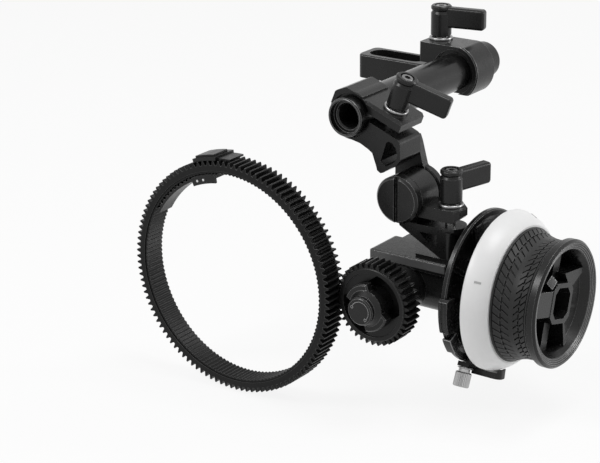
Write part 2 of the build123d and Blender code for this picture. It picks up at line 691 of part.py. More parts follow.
def bracket_screws():
    roof = BOX_Z1 - BOX_ROOF
    one = Rot(180, 0, 0) * screw(BIG_SCREW_R, BOX_Z1 - roof + BIG_SCREW_REACH, BIG_HEAD_R, BIG_HEAD, 1.1)
    return Compound(children=[Pos(x, y, roof) * one for x, y in bracket_screw_places()])


def star(r, depth):
    """A serrated outline about the local Z axis."""
    points = []
    for i in range(2 * SERRATIONS):
        reach = r - depth * (i % 2)
        points.append((reach * cos(pi * i / SERRATIONS), reach * sin(pi * i / SERRATIONS)))
    return points


def lever_washer():
    ring = Cylinder(WASHER_R, WASHER_THICK, align=UP)
    ring = chamfer(ring.edges().group_by(Axis.Z)[-1], 0.3)
    return ring - Cylinder(STUD_R + STUD_CLEARANCE, WASHER_THICK, align=UP)


def lever_stud(shank):
    """Threaded stud with a collar and a serrated drum inside the handle."""
    foot = WASHER_THICK + STUD_LIFT
    drum = handle_level(SERRATION_START) - 2 * STUD_LIFT
    stud = Pos(0, 0, -shank) * Cylinder(STUD_R, shank + foot, align=UP)
    stud += Pos(0, 0, foot) * Cylinder(SERRATION_R + COLLAR_PROUD, drum - foot, align=UP)
    stud += slab_z(star(SERRATION_R, SERRATION_DEPTH), drum, handle_level(SERRATION_END))
    hole = Cylinder(LEVER_SCREW_R + THREAD_GAP, 2 * SERRATION_END + 3, align=UP)
    return stud - Pos(0, 0, handle_level(0.4)) * hole


def handle_level(height):
    """A height in the lever's frame from a height above the handle's lower end."""
    return WASHER_THICK + FACE_GAP + height


def lever_handle():
    """Post and paddle with a serrated well below and a screw well above."""
    base = handle_level(0)
    top = handle_level(HANDLE_HEIGHT)
    neck = handle_level(NECK_HEIGHT)
    edge = 0.5
    post = turned([(0, base), (HANDLE_R - edge, base), (HANDLE_R, base + edge), (HANDLE_R, neck - NECK_HALF),
                   (HANDLE_R - NECK_DEPTH, neck), (HANDLE_R, neck + NECK_HALF), (HANDLE_R, top - edge),
                   (HANDLE_R - edge, top), (0, top)])
    paddle = block(0, PADDLE_REACH, -PADDLE_THICK / 2, PADDLE_THICK / 2,
                   handle_level(PADDLE_BOTTOM), handle_level(PADDLE_TOP))
    paddle = fillet(paddle.edges().filter_by(Axis.Y).group_by(Axis.X)[-1], PADDLE_CORNER_R)
    paddle = fillet(paddle.edges().group_by(Axis.X)[-1].filter_by(Axis.Z), PADDLE_END_R)
    handle = post + paddle
    well_top = base + SERRATION_START
    handle -= Pos(0, 0, base - 1) * Cylinder(SERRATION_R + 2 * COLLAR_PROUD, SERRATION_START + 1.1, align=UP)
    handle -= slab_z(star(SERRATION_R + SERRATION_PLAY, SERRATION_DEPTH), well_top,
                     handle_level(SERRATION_END + FACE_GAP))
    handle -= Pos(0, 0, base) * Cylinder(LEVER_SCREW_R + SCREW_HOLE_PLAY, HANDLE_HEIGHT, align=UP)
    well_r = LEVER_SCREW_HEAD_R + SCREW_WELL_PLAY
    handle -= Pos(0, 0, handle_level(SCREW_WELL)) * Cylinder(well_r, HANDLE_HEIGHT, align=UP)
    return handle


def lever_screw():
    """Screw that holds the handle down on its spring."""
    head = handle_level(HANDLE_HEIGHT - LEVER_SCREW_SUNK - LEVER_SCREW_HEAD)
    length = head - handle_level(0.9)
    return Pos(0, 0, head) * screw(LEVER_SCREW_R, length, LEVER_SCREW_HEAD_R, LEVER_SCREW_HEAD, LEVER_KEY_R)


def lever_spring():
    """Coil between the handle's inner shoulder and the screw's head."""
    end = SPRING_WIRE / 2 + 0.05
    low = handle_level(SCREW_WELL) + end
    high = handle_level(HANDLE_HEIGHT - LEVER_SCREW_SUNK - LEVER_SCREW_HEAD) - end
    path = Helix((high - low) / SPRING_TURNS, high - low, LEVER_SCREW_HEAD_R - 0.4)
    wire = sweep(Plane(path @ 0, z_dir=path % 0) * Circle(SPRING_WIRE / 2), path=path)
    return Pos(0, 0, low) * wire


def lever_set(prefix, place, shank):
    """The five pieces of one clamping lever, by node name."""
    spot = place.location
    return {
        prefix + "_lever_washer": spot * lever_washer(),
        prefix + "_lever_stud": spot * lever_stud(shank),
        prefix + "_lever_handle": spot * lever_handle(),
        prefix + "_lever_screw": spot * lever_screw(),
        prefix + "_lever_spring": spot * lever_spring(),
    }


def box_outline(back):
    """The gearbox's side outline in (y, z), with a curved underside at the front."""
    front = BOX_Y0 + BOX_RECESS
    points = [(BOX_Y0, BOX_Z1), (CROSS_Y - BOX_STEP_BACK, BOX_Z1),
              (CROSS_Y - BOX_STEP_BACK + 1.4, CROSS_Z + BOX_REAR_TOP), (back, CROSS_Z + BOX_REAR_TOP),
              (back, BOX_Z0)]
    for i in range(9):
        a = radians(90 + 90 * i / 8)
        points.append((front + BOX_UNDER_R * (1 + cos(a)), BOX_Z0 + BOX_UNDER_R * (1 - sin(a))))
    return points + [(front, BOX_Z1 - BOX_BAND - 0.6), (BOX_Y0, BOX_Z1 - BOX_BAND)]


def cover_screw_places():
    """Corner places (x, z) of the rear cover's screws."""
    inset = COVER_SCREW_INSET
    return [(x, z) for x in (BOX_X0 + inset, BOX_X1 - inset)
            for z in (BOX_Z0 + inset, CROSS_Z + BOX_REAR_TOP - inset)]


def dish_screw_places():
    """Places (y, z) of the stop dish's screws."""
    turns = [radians(a) for a in (0, 120, 240)]
    return [(CROSS_Y + DISH_SCREW_AT * cos(a), CROSS_Z + DISH_SCREW_AT * sin(a)) for a in turns]


def gearbox_housing():
    """Housing for the crossed shafts, with a bearing nose towards the drive gear."""
    body = slab_x(box_outline(BOX_Y1), BOX_X0, BOX_X1)
    body = chamfer(body.edges().filter_by(Axis.X).group_by(Axis.Z)[-1].group_by(Axis.Y)[0], 0.5)
    shell = block(BOX_X0, BOX_X1, BOX_Y0, BOX_Y1, BOX_Z0, BOX_Z1)
    left = shell.edges().group_by(Axis.X)[0]
    body &= fillet(left.filter_by(Axis.Z).group_by(Axis.Y)[0] + left.filter_by(Axis.Y).group_by(Axis.Z)[-1],
                   BOX_EDGE_R)
    nose = bar_y(NOSE_R, NOSE_Y, CROSS_Y - 4, CROSS_X, CROSS_Z)
    body += chamfer(nose.edges().group_by(Axis.Y)[0], 0.8)
    wall_y = CROSS_Y - WALL_AT
    wall_x = CROSS_X + WALL_AT
    body -= bar_y(CAVITY_R, wall_y, BOX_Y1 + 1, CROSS_X, CROSS_Z)
    body -= bar_x(CAVITY_R, CROSS_X, wall_x, CROSS_Y, CROSS_Z)
    body -= bar_y(BUSH_R, NOSE_Y - 1, wall_y + 1, CROSS_X, CROSS_Z)
    body -= bar_x(BUSH_R, wall_x - 1, BOX_X1 + 1, CROSS_Y, CROSS_Z)
    for x, z in cover_screw_places():
        body -= bar_y(SMALL_SCREW_R + THREAD_GAP, BOX_Y1 - SMALL_SCREW_LENGTH, BOX_Y1 + 1, x, z)
    for y, z in dish_screw_places():
        body -= bar_x(SMALL_SCREW_R + THREAD_GAP, BOX_X1 - SMALL_SCREW_LENGTH, BOX_X1 + 1, y, z)
    roof = BOX_Z1 - BOX_ROOF
    for x, y in bracket_screw_places():
        body -= bar_z(BIG_HEAD_R + 0.2, BOX_Z0 - 1, roof, x, y)
        body -= bar_z(BIG_SCREW_R + STUD_CLEARANCE, roof - 1, BOX_Z1 + 1, x, y)
    return body


def gearbox_cover():
    """Rear cover with a round lip in the gear space."""
    outline = [(BOX_X0, BOX_Z0), (BOX_X1, BOX_Z0), (BOX_X1, CROSS_Z + BOX_REAR_TOP),
               (BOX_X0, CROSS_Z + BOX_REAR_TOP)]
    cover = slab_y(outline, BOX_Y1, BOX_Y1 + COVER_THICK)
    cover = chamfer(cover.edges().group_by(Axis.Y)[-1], COVER_EDGE)
    cover += bar_y(CAVITY_R - 0.1, BOX_Y1 - COVER_LIP, BOX_Y1 + 1, CROSS_X, CROSS_Z)
    back = BOX_Y1 + COVER_THICK
    for x, z in cover_screw_places():
        cover -= bar_y(SMALL_SCREW_R + STUD_CLEARANCE, BOX_Y1 - 1, back + 1, x, z)
        cover -= bar_y(SMALL_HEAD_R + 0.2, back - SMALL_HEAD - 0.1, back + 1, x, z)
    return cover


def cover_screws():
    seat = BOX_Y1 + COVER_THICK - SMALL_HEAD - 0.1
    one = Rot(-90, 0, 0) * screw(SMALL_SCREW_R, SMALL_SCREW_LENGTH, SMALL_HEAD_R, SMALL_HEAD, 0.8)
    return Compound(children=[Pos(x, seat, z) * one for x, z in cover_screw_places()])


def bevel_section(reach, shift):
    """Toothed outline of a bevel gear at a distance from the crossing point."""
    cone = BEVEL_R * sqrt(2)
    tip = BEVEL_R * tan(pi / 4 + atan(BEVEL_ADDENDUM / cone))
    root = BEVEL_R * tan(pi / 4 - atan(BEVEL_DEDENDUM / cone))
    half_pitch = (pi * BEVEL_R / BEVEL_TEETH - BEVEL_PLAY) / 2
    steps = [(root, -(half_pitch + 0.12) / root), (BEVEL_R, -half_pitch / BEVEL_R), (tip, -0.36 / tip),
             (tip, 0.36 / tip), (BEVEL_R, half_pitch / BEVEL_R), (root, (half_pitch + 0.12) / root)]
    scale = reach / BEVEL_R
    points = []
    for i in range(BEVEL_TEETH):
        middle = 2 * pi * (i + shift) / BEVEL_TEETH
        points += [(scale * r * cos(middle + a), scale * r * sin(middle + a), reach) for r, a in steps]
    return make_face(Polyline(*points, close=True))


def bevel_gear(shift):
    """Bevel gear about local Z, with the crossing point at the local origin."""
    small = BEVEL_R * (1 - BEVEL_FACE / (BEVEL_R * sqrt(2)))
    gear = loft([bevel_section(small, shift), bevel_section(BEVEL_R, shift)], ruled=True)
    gear += Pos(0, 0, BEVEL_R) * Cylinder(BEVEL_HUB_R, BEVEL_HUB, align=UP)
    return gear - Cylinder(SHAFT_END_R + SEAT_FIT, 2 * BEVEL_R + BEVEL_HUB, align=UP)


def wheel_bevel_gear():
    place = Plane((CROSS_X, CROSS_Y, CROSS_Z), x_dir=(0, -1, 0), z_dir=(1, 0, 0))
    return place.location * bevel_gear(0.5)


def drive_bevel_gear():
    place = Plane((CROSS_X, CROSS_Y, CROSS_Z), x_dir=(1, 0, 0), z_dir=(0, -1, 0))
    return place.location * bevel_gear(0)


def wheel_shaft():
    """Shaft from the bevel gear out to the handwheel."""
    small = BEVEL_R * (1 - BEVEL_FACE / (BEVEL_R * sqrt(2)))
    shoulder = CROSS_X + BEVEL_R + BEVEL_HUB
    shaft = bar_x(SHAFT_END_R, CROSS_X + small, shoulder, CROSS_Y, CROSS_Z)
    shaft += bar_x(SHAFT_R, shoulder, SHAFT_TIP_X, CROSS_Y, CROSS_Z)
    ring_x = BOX_X1 + 0.1
    groove = bar_x(SHAFT_R, ring_x, ring_x + RING_THICK, CROSS_Y, CROSS_Z)
    groove -= bar_x(SHAFT_R - RING_GROOVE, ring_x, ring_x + RING_THICK, CROSS_Y, CROSS_Z)
    shaft -= groove
    shaft -= block(WHEEL_X0 - WHEEL_HUB_LIP, SHAFT_TIP_X + 1, CROSS_Y - SHAFT_R, CROSS_Y + SHAFT_R,
                   CROSS_Z + SHAFT_R - SHAFT_FLAT, CROSS_Z + SHAFT_R)
    thread = WHEEL_SCREW_LENGTH - WHEEL_WEB + 1.0
    return shaft - bar_x(WHEEL_SCREW_R + THREAD_GAP, SHAFT_TIP_X - thread, SHAFT_TIP_X + 1, CROSS_Y, CROSS_Z)


def drive_shaft():
    """Shaft from the bevel gear forward to the gear hub."""
    small = BEVEL_R * (1 - BEVEL_FACE / (BEVEL_R * sqrt(2)))
    shoulder = CROSS_Y - BEVEL_R - BEVEL_HUB
    shaft = bar_y(SHAFT_END_R, shoulder, CROSS_Y - small, CROSS_X, CROSS_Z)
    shaft += bar_y(SHAFT_R, GEAR_WEB_Y, shoulder, CROSS_X, CROSS_Z)
    ring_y = NOSE_Y - 0.1
    groove = bar_y(SHAFT_R, ring_y - RING_THICK, ring_y, CROSS_X, CROSS_Z)
    groove -= bar_y(SHAFT_R - RING_GROOVE, ring_y - RING_THICK, ring_y, CROSS_X, CROSS_Z)
    return shaft - groove


def bush():
    """Plain bearing bush about local Z."""
    outside = Cylinder(BUSH_R - SEAT_FIT, BUSH_LENGTH, align=UP)
    return outside - Cylinder(SHAFT_R + TURN_FIT, BUSH_LENGTH, align=UP)


def wheel_shaft_bushes():
    starts = (CROSS_X + WALL_AT + 0.1, BOX_X1 - BUSH_LENGTH - 0.1)
    return Compound(children=[along_wheel(Pos(0, 0, x) * bush()) for x in starts])


def drive_shaft_bushes():
    starts = (NOSE_Y + 0.1, CROSS_Y - WALL_AT - BUSH_LENGTH - 0.1)
    return Compound(children=[along_drive(Pos(0, 0, y) * bush()) for y in starts])


def shaft_ring():
    """Open retaining ring about local Z."""
    ring = Cylinder(RING_R, RING_THICK - 0.1, align=UP)
    ring -= Cylinder(SHAFT_R - RING_GROOVE + 0.03, RING_THICK, align=UP)
    return ring - Pos(0, RING_R, 0) * Box(2.4, 2 * RING_R, 4 * RING_THICK)


def wheel_shaft_ring():
    return along_wheel(Pos(0, 0, BOX_X1 + 0.15) * shaft_ring())


def drive_shaft_ring():
    return along_drive(Pos(0, 0, NOSE_Y - 0.05 - RING_THICK) * shaft_ring())


def gear_outline(teeth, play, flank, centre_x, centre_z, start):
    """Outline of a spur gear in (x, z), with one tooth centred at the start angle."""
    pitch_r = teeth * GEAR_MODULE / 2
    base_r = pitch_r * cos(radians(20))
    root_r = pitch_r - 1.25 * GEAR_MODULE
    tip_r = pitch_r + GEAR_MODULE
    half = pi / 2 / teeth - play / 4 / pitch_r
    radii = [root_r + (tip_r - root_r) * k for k in flank]

    def roll(r):
        angle = acos(min(1, base_r / r))
        return tan(angle) - angle

    rise = [(r, half + roll(pitch_r) - roll(r)) for r in radii]
    profile = [(r, -a) for r, a in rise] + [(r, a) for r, a in reversed(rise)]
    points = []
    for i in range(teeth):
        middle = radians(start) + 2 * pi * i / teeth
        points += [(centre_x + r * cos(middle + a), centre_z + r * sin(middle + a)) for r, a in profile]
    return points


def on_knob(outline):
    """Turns an outline drawn along the knob's wings to its place (x, z) on the drive's axis."""
    c = cos(radians(KNOB_TURN))
    s = sin(radians(KNOB_TURN))
    return [(CROSS_X + a * c - b * s, CROSS_Z + a * s + b * c) for a, b in outline]


def gear_lands(recess):
    """The two flat lands under the knob's wings, cut out of the recess's volume."""
    reach = 2 * GEAR_RECESS_R
    front = GEAR_Y + GEAR_LAND_DROP
    lands = []
    for side in (-1, 1):
        outline = [(side * GEAR_LAND_AT, -reach), (side * reach, -reach), (side * reach, reach),
                   (side * GEAR_LAND_AT, reach)]
        lands.append(recess & slab_y(on_knob(outline), front, GEAR_WEB_Y))
    return lands


def drive_gear():
    """Toothed rim with a deep recess in front, two lands in it and a web behind."""
    gap_start = LENS_LINE + 180.0 / GEAR_TEETH
    outline = gear_outline(GEAR_TEETH, GEAR_PLAY, (0, 0.5, 1), CROSS_X, CROSS_Z, gap_start)
    gear = slab_y(outline, GEAR_Y + GEAR_RIM_LAND, GEAR_BACK_Y)
    land = bar_y(GEAR_ROOT_R, GEAR_Y, GEAR_BACK_Y, CROSS_X, CROSS_Z)
    gear += chamfer(land.edges().group_by(Axis.Y)[0], GEAR_RIM_LAND / 2)
    recess = along_drive(turned([
        (0, GEAR_Y - 1), (GEAR_RECESS_R + GEAR_RECESS_TAPER, GEAR_Y - 1), (GEAR_RECESS_R, GEAR_Y + 1),
        (GEAR_RECESS_R - GEAR_RECESS_TAPER, GEAR_WEB_Y), (0, GEAR_WEB_Y)]))
    for flat in gear_lands(recess):
        recess -= flat
    gear -= recess
    return gear - bar_y(HUB_R + SEAT_FIT, GEAR_Y, GEAR_BACK_Y + 1, CROSS_X, CROSS_Z)


def gear_hub():
    """Hub on the drive shaft, with a flange behind the gear and a stem for the knob."""
    flange = bar_y(HUB_FLANGE_R, GEAR_BACK_Y + SEAT_FIT, GEAR_BACK_Y + HUB_FLANGE, CROSS_X, CROSS_Z)
    hub = chamfer(flange.edges().group_by(Axis.Y)[-1], HUB_EDGE)
    hub += bar_y(HUB_R, HUB_FRONT, GEAR_BACK_Y + 1, CROSS_X, CROSS_Z)
    hub -= bar_y(SHAFT_R + SEAT_FIT, GEAR_WEB_Y - SEAT_FIT, GEAR_BACK_Y + HUB_FLANGE + 1, CROSS_X, CROSS_Z)
    hub += bar_y(KNOB_STEM_R, CAP_BACK, GEAR_WEB_Y - SEAT_FIT, CROSS_X, CROSS_Z)
    pin_x = CROSS_X + PIN_OFFSET
    return hub - bar_y(PIN_R + SEAT_FIT, HUB_FRONT - 1, HUB_FRONT + PIN_LENGTH + 0.1, pin_x, CROSS_Z)


def gear_lock_pin():
    """Detent pin in the hub."""
    proud = FACE_GAP / 2
    return bar_y(PIN_R, HUB_FRONT - proud, HUB_FRONT + PIN_LENGTH, CROSS_X + PIN_OFFSET, CROSS_Z)


def gear_lock_knob():
    """Bow-tie knob on a neck, with a cone and a round cap, which turns on the hub's stem."""
    reach = KNOB_R
    half = KNOB_WAIST_HALF
    wing = [(-reach, -KNOB_FLARE), (-half, -KNOB_WAIST), (half, -KNOB_WAIST), (reach, -KNOB_FLARE),
            (reach, KNOB_FLARE), (half, KNOB_WAIST), (-half, KNOB_WAIST), (-reach, KNOB_FLARE)]
    knob = slab_y(on_knob(wing), KNOB_FRONT, KNOB_BACK)
    knob &= bar_y(KNOB_R, KNOB_FRONT, KNOB_BACK, CROSS_X, CROSS_Z)
    knob = chamfer(knob.edges().group_by(Axis.Y)[0], KNOB_EDGE)
    neck_back = HUB_FRONT - FACE_GAP
    cap_front = CAP_BACK - KNOB_CAP
    knob += along_drive(turned([
        (0, neck_back), (KNOB_NECK_R, neck_back), (KNOB_NECK_R, KNOB_FRONT), (KNOB_CONE_R, KNOB_FRONT),
        (KNOB_CAP_R, CAP_BACK), (KNOB_CAP_R, cap_front + KNOB_EDGE), (KNOB_CAP_R - KNOB_EDGE, cap_front),
        (0, cap_front)]))
    return knob - bar_y(KNOB_STEM_R + TURN_FIT, CAP_BACK - 0.1, neck_back + 1, CROSS_X, CROSS_Z)


def on_lens(shape):
    """Puts a piece drawn about local Z on the lens axis. Angles run from +X towards +Z."""
    return Plane((LENS_X, LENS_Y1, LENS_Z), x_dir=(1, 0, 0), z_dir=(0, -1, 0)).location * shape


def lens_gear_ring():
    """Toothed ring that grips the lens barrel."""
    outline = gear_outline(LENS_TEETH, GEAR_PLAY, (0, 1), LENS_X, LENS_Z, LENS_LINE - 180)
    ring = slab_y(outline, LENS_Y0, LENS_Y1)
    return ring - bar_y(LENS_BODY_R, LENS_Y0 - 1, LENS_Y1 + 1, LENS_X, LENS_Z)


def lens_ring_liner():
    """Soft inner band with fine notches across it."""
    points = []
    for i in range(2 * LINER_NOTCHES):
        r = LENS_BORE_R + LINER_NOTCH * (i % 2)
        points.append((LENS_X + r * cos(pi * i / LINER_NOTCHES), LENS_Z + r * sin(pi * i / LINER_NOTCHES)))
    liner = bar_y(LENS_BODY_R - SEAT_FIT, LENS_Y0 + 0.4, LENS_Y1 - 0.4, LENS_X, LENS_Z)
    return liner - slab_y(points, LENS_Y0 - 1, LENS_Y1 + 1)


def lens_ring_strap():
    """Free end of the belt, lying inside the liner, with notches on its outer side."""
    outer = LENS_BORE_R - 0.1
    strap = sector(outer - STRAP_THICK, outer, 2.0, LENS_RING_WIDTH - 0.6, STRAP_START, STRAP_END)
    count = int((STRAP_END - STRAP_START - 18) / STRAP_PITCH)
    for i in range(count):
        notch = Pos(outer, 0, 0) * Box(1.2, 1.1, 3 * LENS_RING_WIDTH)
        strap -= Rot(0, 0, STRAP_END - 3 - i * STRAP_PITCH) * notch
    return on_lens(strap)


def lens_ring_buckle():
    """Clasp over the teeth, with a low tongue beside it and a cheek behind the ring."""
    inner = LENS_TIP_R + 0.1
    outer = inner + BUCKLE_THICK
    start = BUCKLE_AT - BUCKLE_HALF
    end = BUCKLE_AT + BUCKLE_HALF
    front = LENS_RING_WIDTH
    clasp = sector(inner, outer - 0.8, -0.1, front, start, end)
    clasp += sector(outer - 0.9, outer, 0.7, front - 0.8, start + 1.5, end - 1.5)
    clasp += sector(inner, inner + 0.7, -0.1, front - 1.5, start - BUCKLE_TONGUE, start)
    clasp += sector(LENS_BODY_R, outer - 0.8, -1.5, -0.1, start, end)
    return on_lens(clasp)


def lens_ring_clip():
    """Small clip that lies on the strap's front edge inside the ring."""
    outer = LENS_BORE_R - FACE_GAP
    inner = outer - CLIP_DEPTH
    clip = sector(inner, outer, LENS_RING_WIDTH - 0.55, LENS_RING_WIDTH + 0.4, CLIP_START, CLIP_END)
    for angle in CLIP_PINS:
        hole = Pos((inner + outer) / 2, 0, 0) * Cylinder(CLIP_PIN_R + SEAT_FIT, 3 * LENS_RING_WIDTH)
        clip -= Rot(0, 0, angle) * hole
    return on_lens(clip)


def lens_ring_pins():
    middle = LENS_BORE_R - FACE_GAP - CLIP_DEPTH / 2
    pin = Pos(middle, 0, LENS_RING_WIDTH - 0.5) * Cylinder(CLIP_PIN_R, 1.05, align=UP)
    return Compound(children=[on_lens(Rot(0, 0, angle) * pin) for angle in CLIP_PINS])


def stop_dish():
    """Dished plate on the gearbox's side, whose rim carries the stops."""
    floor_top = DISH_FLOOR_X + DISH_FLOOR
    dish = turned([
        (DISH_BORE_R, BOX_X1), (DISH_BOSS_R, BOX_X1), (DISH_BOSS_R, DISH_FLOOR_X), (DISH_FLOOR_R, DISH_FLOOR_X),
        (DISH_FLOOR_R + DISH_SLOPE, DISH_X0), (DISH_R - DISH_EDGE, DISH_X0), (DISH_R, DISH_X0 + DISH_EDGE),
        (DISH_R, DISH_X1 - DISH_EDGE), (DISH_R - DISH_EDGE, DISH_X1), (DISH_INNER_R, DISH_X1),
        (DISH_INNER_R, DISH_X0 + DISH_CHANNEL), (DISH_FLOOR_R, floor_top), (DISH_BORE_R, floor_top)])
    middle = (DISH_RIB_FROM + DISH_RIB_TO) / 2
    rib = Box(DISH_RIB_TO - DISH_RIB_FROM, DISH_RIB_WIDE, DISH_RIB_PROUD + 0.1, align=UP)
    for i in range(DISH_RIBS):
        dish += Rot(0, 0, 360 * i / DISH_RIBS + DISH_RIB_TURN) * (Pos(middle, 0, floor_top - 0.1) * rib)
    dish = along_wheel(dish)
    for y, z in dish_screw_places():
        dish -= bar_x(SMALL_SCREW_R + STUD_CLEARANCE, BOX_X1 - 1, floor_top + 1, y, z)
        dish -= bar_x(SMALL_HEAD_R + 0.2, floor_top - SMALL_HEAD - 0.1, floor_top + 2, y, z)
    return dish


def dish_screws():
    seat = DISH_FLOOR_X + DISH_FLOOR - SMALL_HEAD - 0.1
    one = Rot(0, 90, 0) * screw(SMALL_SCREW_R, SMALL_SCREW_LENGTH, SMALL_HEAD_R, SMALL_HEAD, 0.8)
    return Compound(children=[Pos(seat, y, z) * one for y, z in dish_screw_places()])


def rim_carriage(start, end, thick):
    """A carriage that hooks over the dish's rim, drawn about local Z."""
    outer = DISH_R + CARRIAGE_GAP + thick
    hook = DISH_INNER_R - CARRIAGE_GAP
    hook_end = DISH_X0 + DISH_CHANNEL + CARRIAGE_GAP
    back = DISH_X0 + CARRIAGE_SET_BACK
    carriage = sector(DISH_R + CARRIAGE_GAP, outer, back, CARRIAGE_X1, start, end)
    carriage += sector(hook - CARRIAGE_HOOK, outer, CHEEK_X, CARRIAGE_X1, start, end)
    carriage += sector(hook - CARRIAGE_HOOK, hook, hook_end, CARRIAGE_X1, start, end)
    return carriage


def stop_a():
    """Long stop with tapered ends and a framed flat on its outside."""
    outer = DISH_R + CARRIAGE_GAP + STOP_A_THICK
    carriage = rim_carriage(STOP_A_FROM, STOP_A_TO, STOP_A_THICK)
    ends = [e for e in carriage.edges().filter_by(Axis.Z) if hypot(*tuple(e @ 0.5)[:2]) > outer - 0.01]
    carriage = chamfer(ends, STOP_A_TAPER)
    panel = sector(outer - PANEL_DEPTH, outer + 1, DISH_X0 + 2 * PANEL_BORDER, DISH_X1 + CARRIAGE_GAP,
                   STOP_A_FROM + PANEL_FRAME, STOP_A_TO - PANEL_FRAME)
    return along_wheel(carriage - panel)


def stop_b():
    """Short stop."""
    return along_wheel(rim_carriage(STOP_B_FROM, STOP_B_TO, STOP_B_THICK))


def pointer_bar():
    """Bar with a rounded end and an inward lip, over the marking disk's edge, drawn about local Z."""
    start = POINTER_TO - POINTER_BAR
    inner = DISK_R + POINTER_BAR_CLEAR
    outer = inner + POINTER_BAR_THICK
    front = CROSS_X + POINTER_REACH
    bar = sector(inner, outer, CHEEK_X, front, start, POINTER_TO)
    bar += sector(inner - POINTER_LIP_DROP, outer, front - POINTER_LIP, front, start, POINTER_TO)
    half_wide = outer * sin(radians(POINTER_BAR / 2))
    half_long = front - DISH_X1
    ends = extrude(RectangleRounded(2 * half_long, 2 * half_wide, POINTER_END_R), 2 * outer)
    middle = Rot(0, 0, POINTER_TO - POINTER_BAR / 2) * Pos(0, 0, DISH_X1)
    return bar & (middle * Rot(0, 90, 0) * ends)


def pointer_arm():
    """Pointer carriage with a bar that lies over the marking disk's edge."""
    carriage = rim_carriage(POINTER_FROM, POINTER_TO, POINTER_THICK)
    root = DISH_R + CARRIAGE_GAP
    outer = root + POINTER_THICK
    carriage += sector(root, outer, DISH_X0 - POINTER_BOSS, DISH_X1, POINTER_FROM, POINTER_TO)
    bar = DISK_R + POINTER_BAR_CLEAR
    low = min(root, bar)
    high = max(outer, bar + POINTER_BAR_THICK)
    carriage += sector(low, high, CHEEK_X, CARRIAGE_X1, POINTER_TO - POINTER_BAR, POINTER_TO)
    carriage += pointer_bar()
    hole = Pos(0, 0, DISH_R - 2) * Cylinder(THUMB_SHANK_R + THREAD_GAP, 12, align=UP)
    return along_wheel(carriage) - on_thumb(hole)


def thumb_x():
    """Where the thumbscrew stands along the wheel's axis."""
    return (DISH_X0 - POINTER_BOSS + CARRIAGE_X1) / 2


def on_thumb(shape):
    """Puts a piece drawn about local Z on the thumbscrew's axis, with local Z pointing out."""
    return along_wheel(Pos(0, 0, thumb_x()) * Rot(0, 0, THUMB_AT) * Rot(0, 90, 0) * shape)


def pointer_thumbscrew():
    """Knurled screw that clamps the pointer on the rim."""
    outer = DISH_R + CARRIAGE_GAP + POINTER_THICK
    base = outer + THUMB_STAND
    thumb = Pos(0, 0, DISH_R + 0.1) * Cylinder(THUMB_SHANK_R, base - DISH_R, align=UP)
    thumb += Pos(0, 0, base) * Cylinder(THUMB_COLLAR_R, THUMB_COLLAR, align=UP)
    knob = Pos(0, 0, base + THUMB_COLLAR) * Cylinder(THUMB_R, THUMB_LENGTH, align=UP)
    return on_thumb(thumb + chamfer(knob.edges(), 0.4))


def thumbscrew_washer():
    outer = DISH_R + CARRIAGE_GAP + POINTER_THICK
    ring = Cylinder(THUMB_R - 0.1, 0.5, align=UP) - Cylinder(THUMB_SHANK_R + STUD_CLEARANCE, 0.5, align=UP)
    return on_thumb(Pos(0, 0, outer + 0.1) * ring)


def marking_disk():
    """White write-on disk, a rounded cone about the wheel's axis."""
    back = DISK_X0
    front = DISK_X1
    edge = DISK_EDGE
    rim = back + DISK_RIM
    outline = Polyline((DISK_BORE_R, 0, back), (DISK_R - edge, 0, back), (DISK_R, 0, back + edge),
                       (DISK_R, 0, rim))
    outline += ThreePointArc((DISK_R, 0, rim), (DISK_R - DISK_BULGE, 0, (rim + front) / 2 + 0.5),
                             (DISK_FRONT_R, 0, front))
    outline += Polyline((DISK_FRONT_R, 0, front), (DISK_BORE_R, 0, front), (DISK_BORE_R, 0, back))
    return along_wheel(revolve(make_face(outline), Axis.Z, 360))


def face_fan():
    """Outline of the wheel face's broad side, which runs from the socket's frame out past the wall."""
    frame = SOCKET_SIDE / 2 + SOCKET_WALL
    wall = WHEEL_FLANGE_R + 1
    return [(frame - SOCKET_CHAMFER, -frame), (frame - SOCKET_CHAMFER, frame - 1), (0.6, 11.0),
            (wall, 11.0 + (wall - 0.6) / 7), (wall, -wall), (wall / 2, -wall)]


def face_scoop():
    """Hollow that dishes the broad side between two straight edges, from the frame out to the wall."""
    frame = SOCKET_SIDE / 2 + SOCKET_WALL
    floor = SOCKET_X - FACE_SCOOP_DEPTH
    past = WHEEL_TUBE_R + 2
    hollow = turned([(frame - 1, SOCKET_X + 1), (frame - 1, SOCKET_X - FACE_FAN_DROP), (frame + 2, floor + 0.8),
                     (frame + 4, floor), (frame + 6.5, floor), (past, floor + 1.2), (past, SOCKET_X + 1)])
    sector = [(frame - 2, -frame + 0.6), (frame, frame - 1.7), (past, frame - 1.7 + 0.75 * (past - frame)),
              (2 * past, 0), (past, -2 * past), (frame - 2 + 0.69 * past, -frame - past)]
    return hollow & slab_z(sector, floor - 1, SOCKET_X + 2)


def wheel_face():
    """Socket frame, left plate, dished right side and rib in the front of the wheel, on its web."""
    side = SOCKET_SIDE + 2 * SOCKET_WALL
    root = WEB_X1 - 1
    boss = Pos(0, 0, root) * extrude(Rectangle(side, side), SOCKET_X - root)
    boss = chamfer(boss.edges().filter_by(Axis.Z), SOCKET_CHAMFER)
    reach = WHEEL_TUBE_R + 0.5
    plate = Pos(-reach / 2, 0, root) * Box(reach, FACE_PLATE_HIGH, SOCKET_X - FACE_PLATE_DROP - root, align=UP)
    fan = slab_z(face_fan(), root, SOCKET_X - FACE_FAN_DROP) - face_scoop()
    rib = Pos(0, 0, root) * Box(FACE_RIB_WIDE, 2 * reach, FACE_RIB_HIGH + 1, align=UP)
    wall = Pos(0, 0, root) * Cylinder(reach, SOCKET_X - root, align=UP)
    return boss + ((plate + fan + rib) & wall)


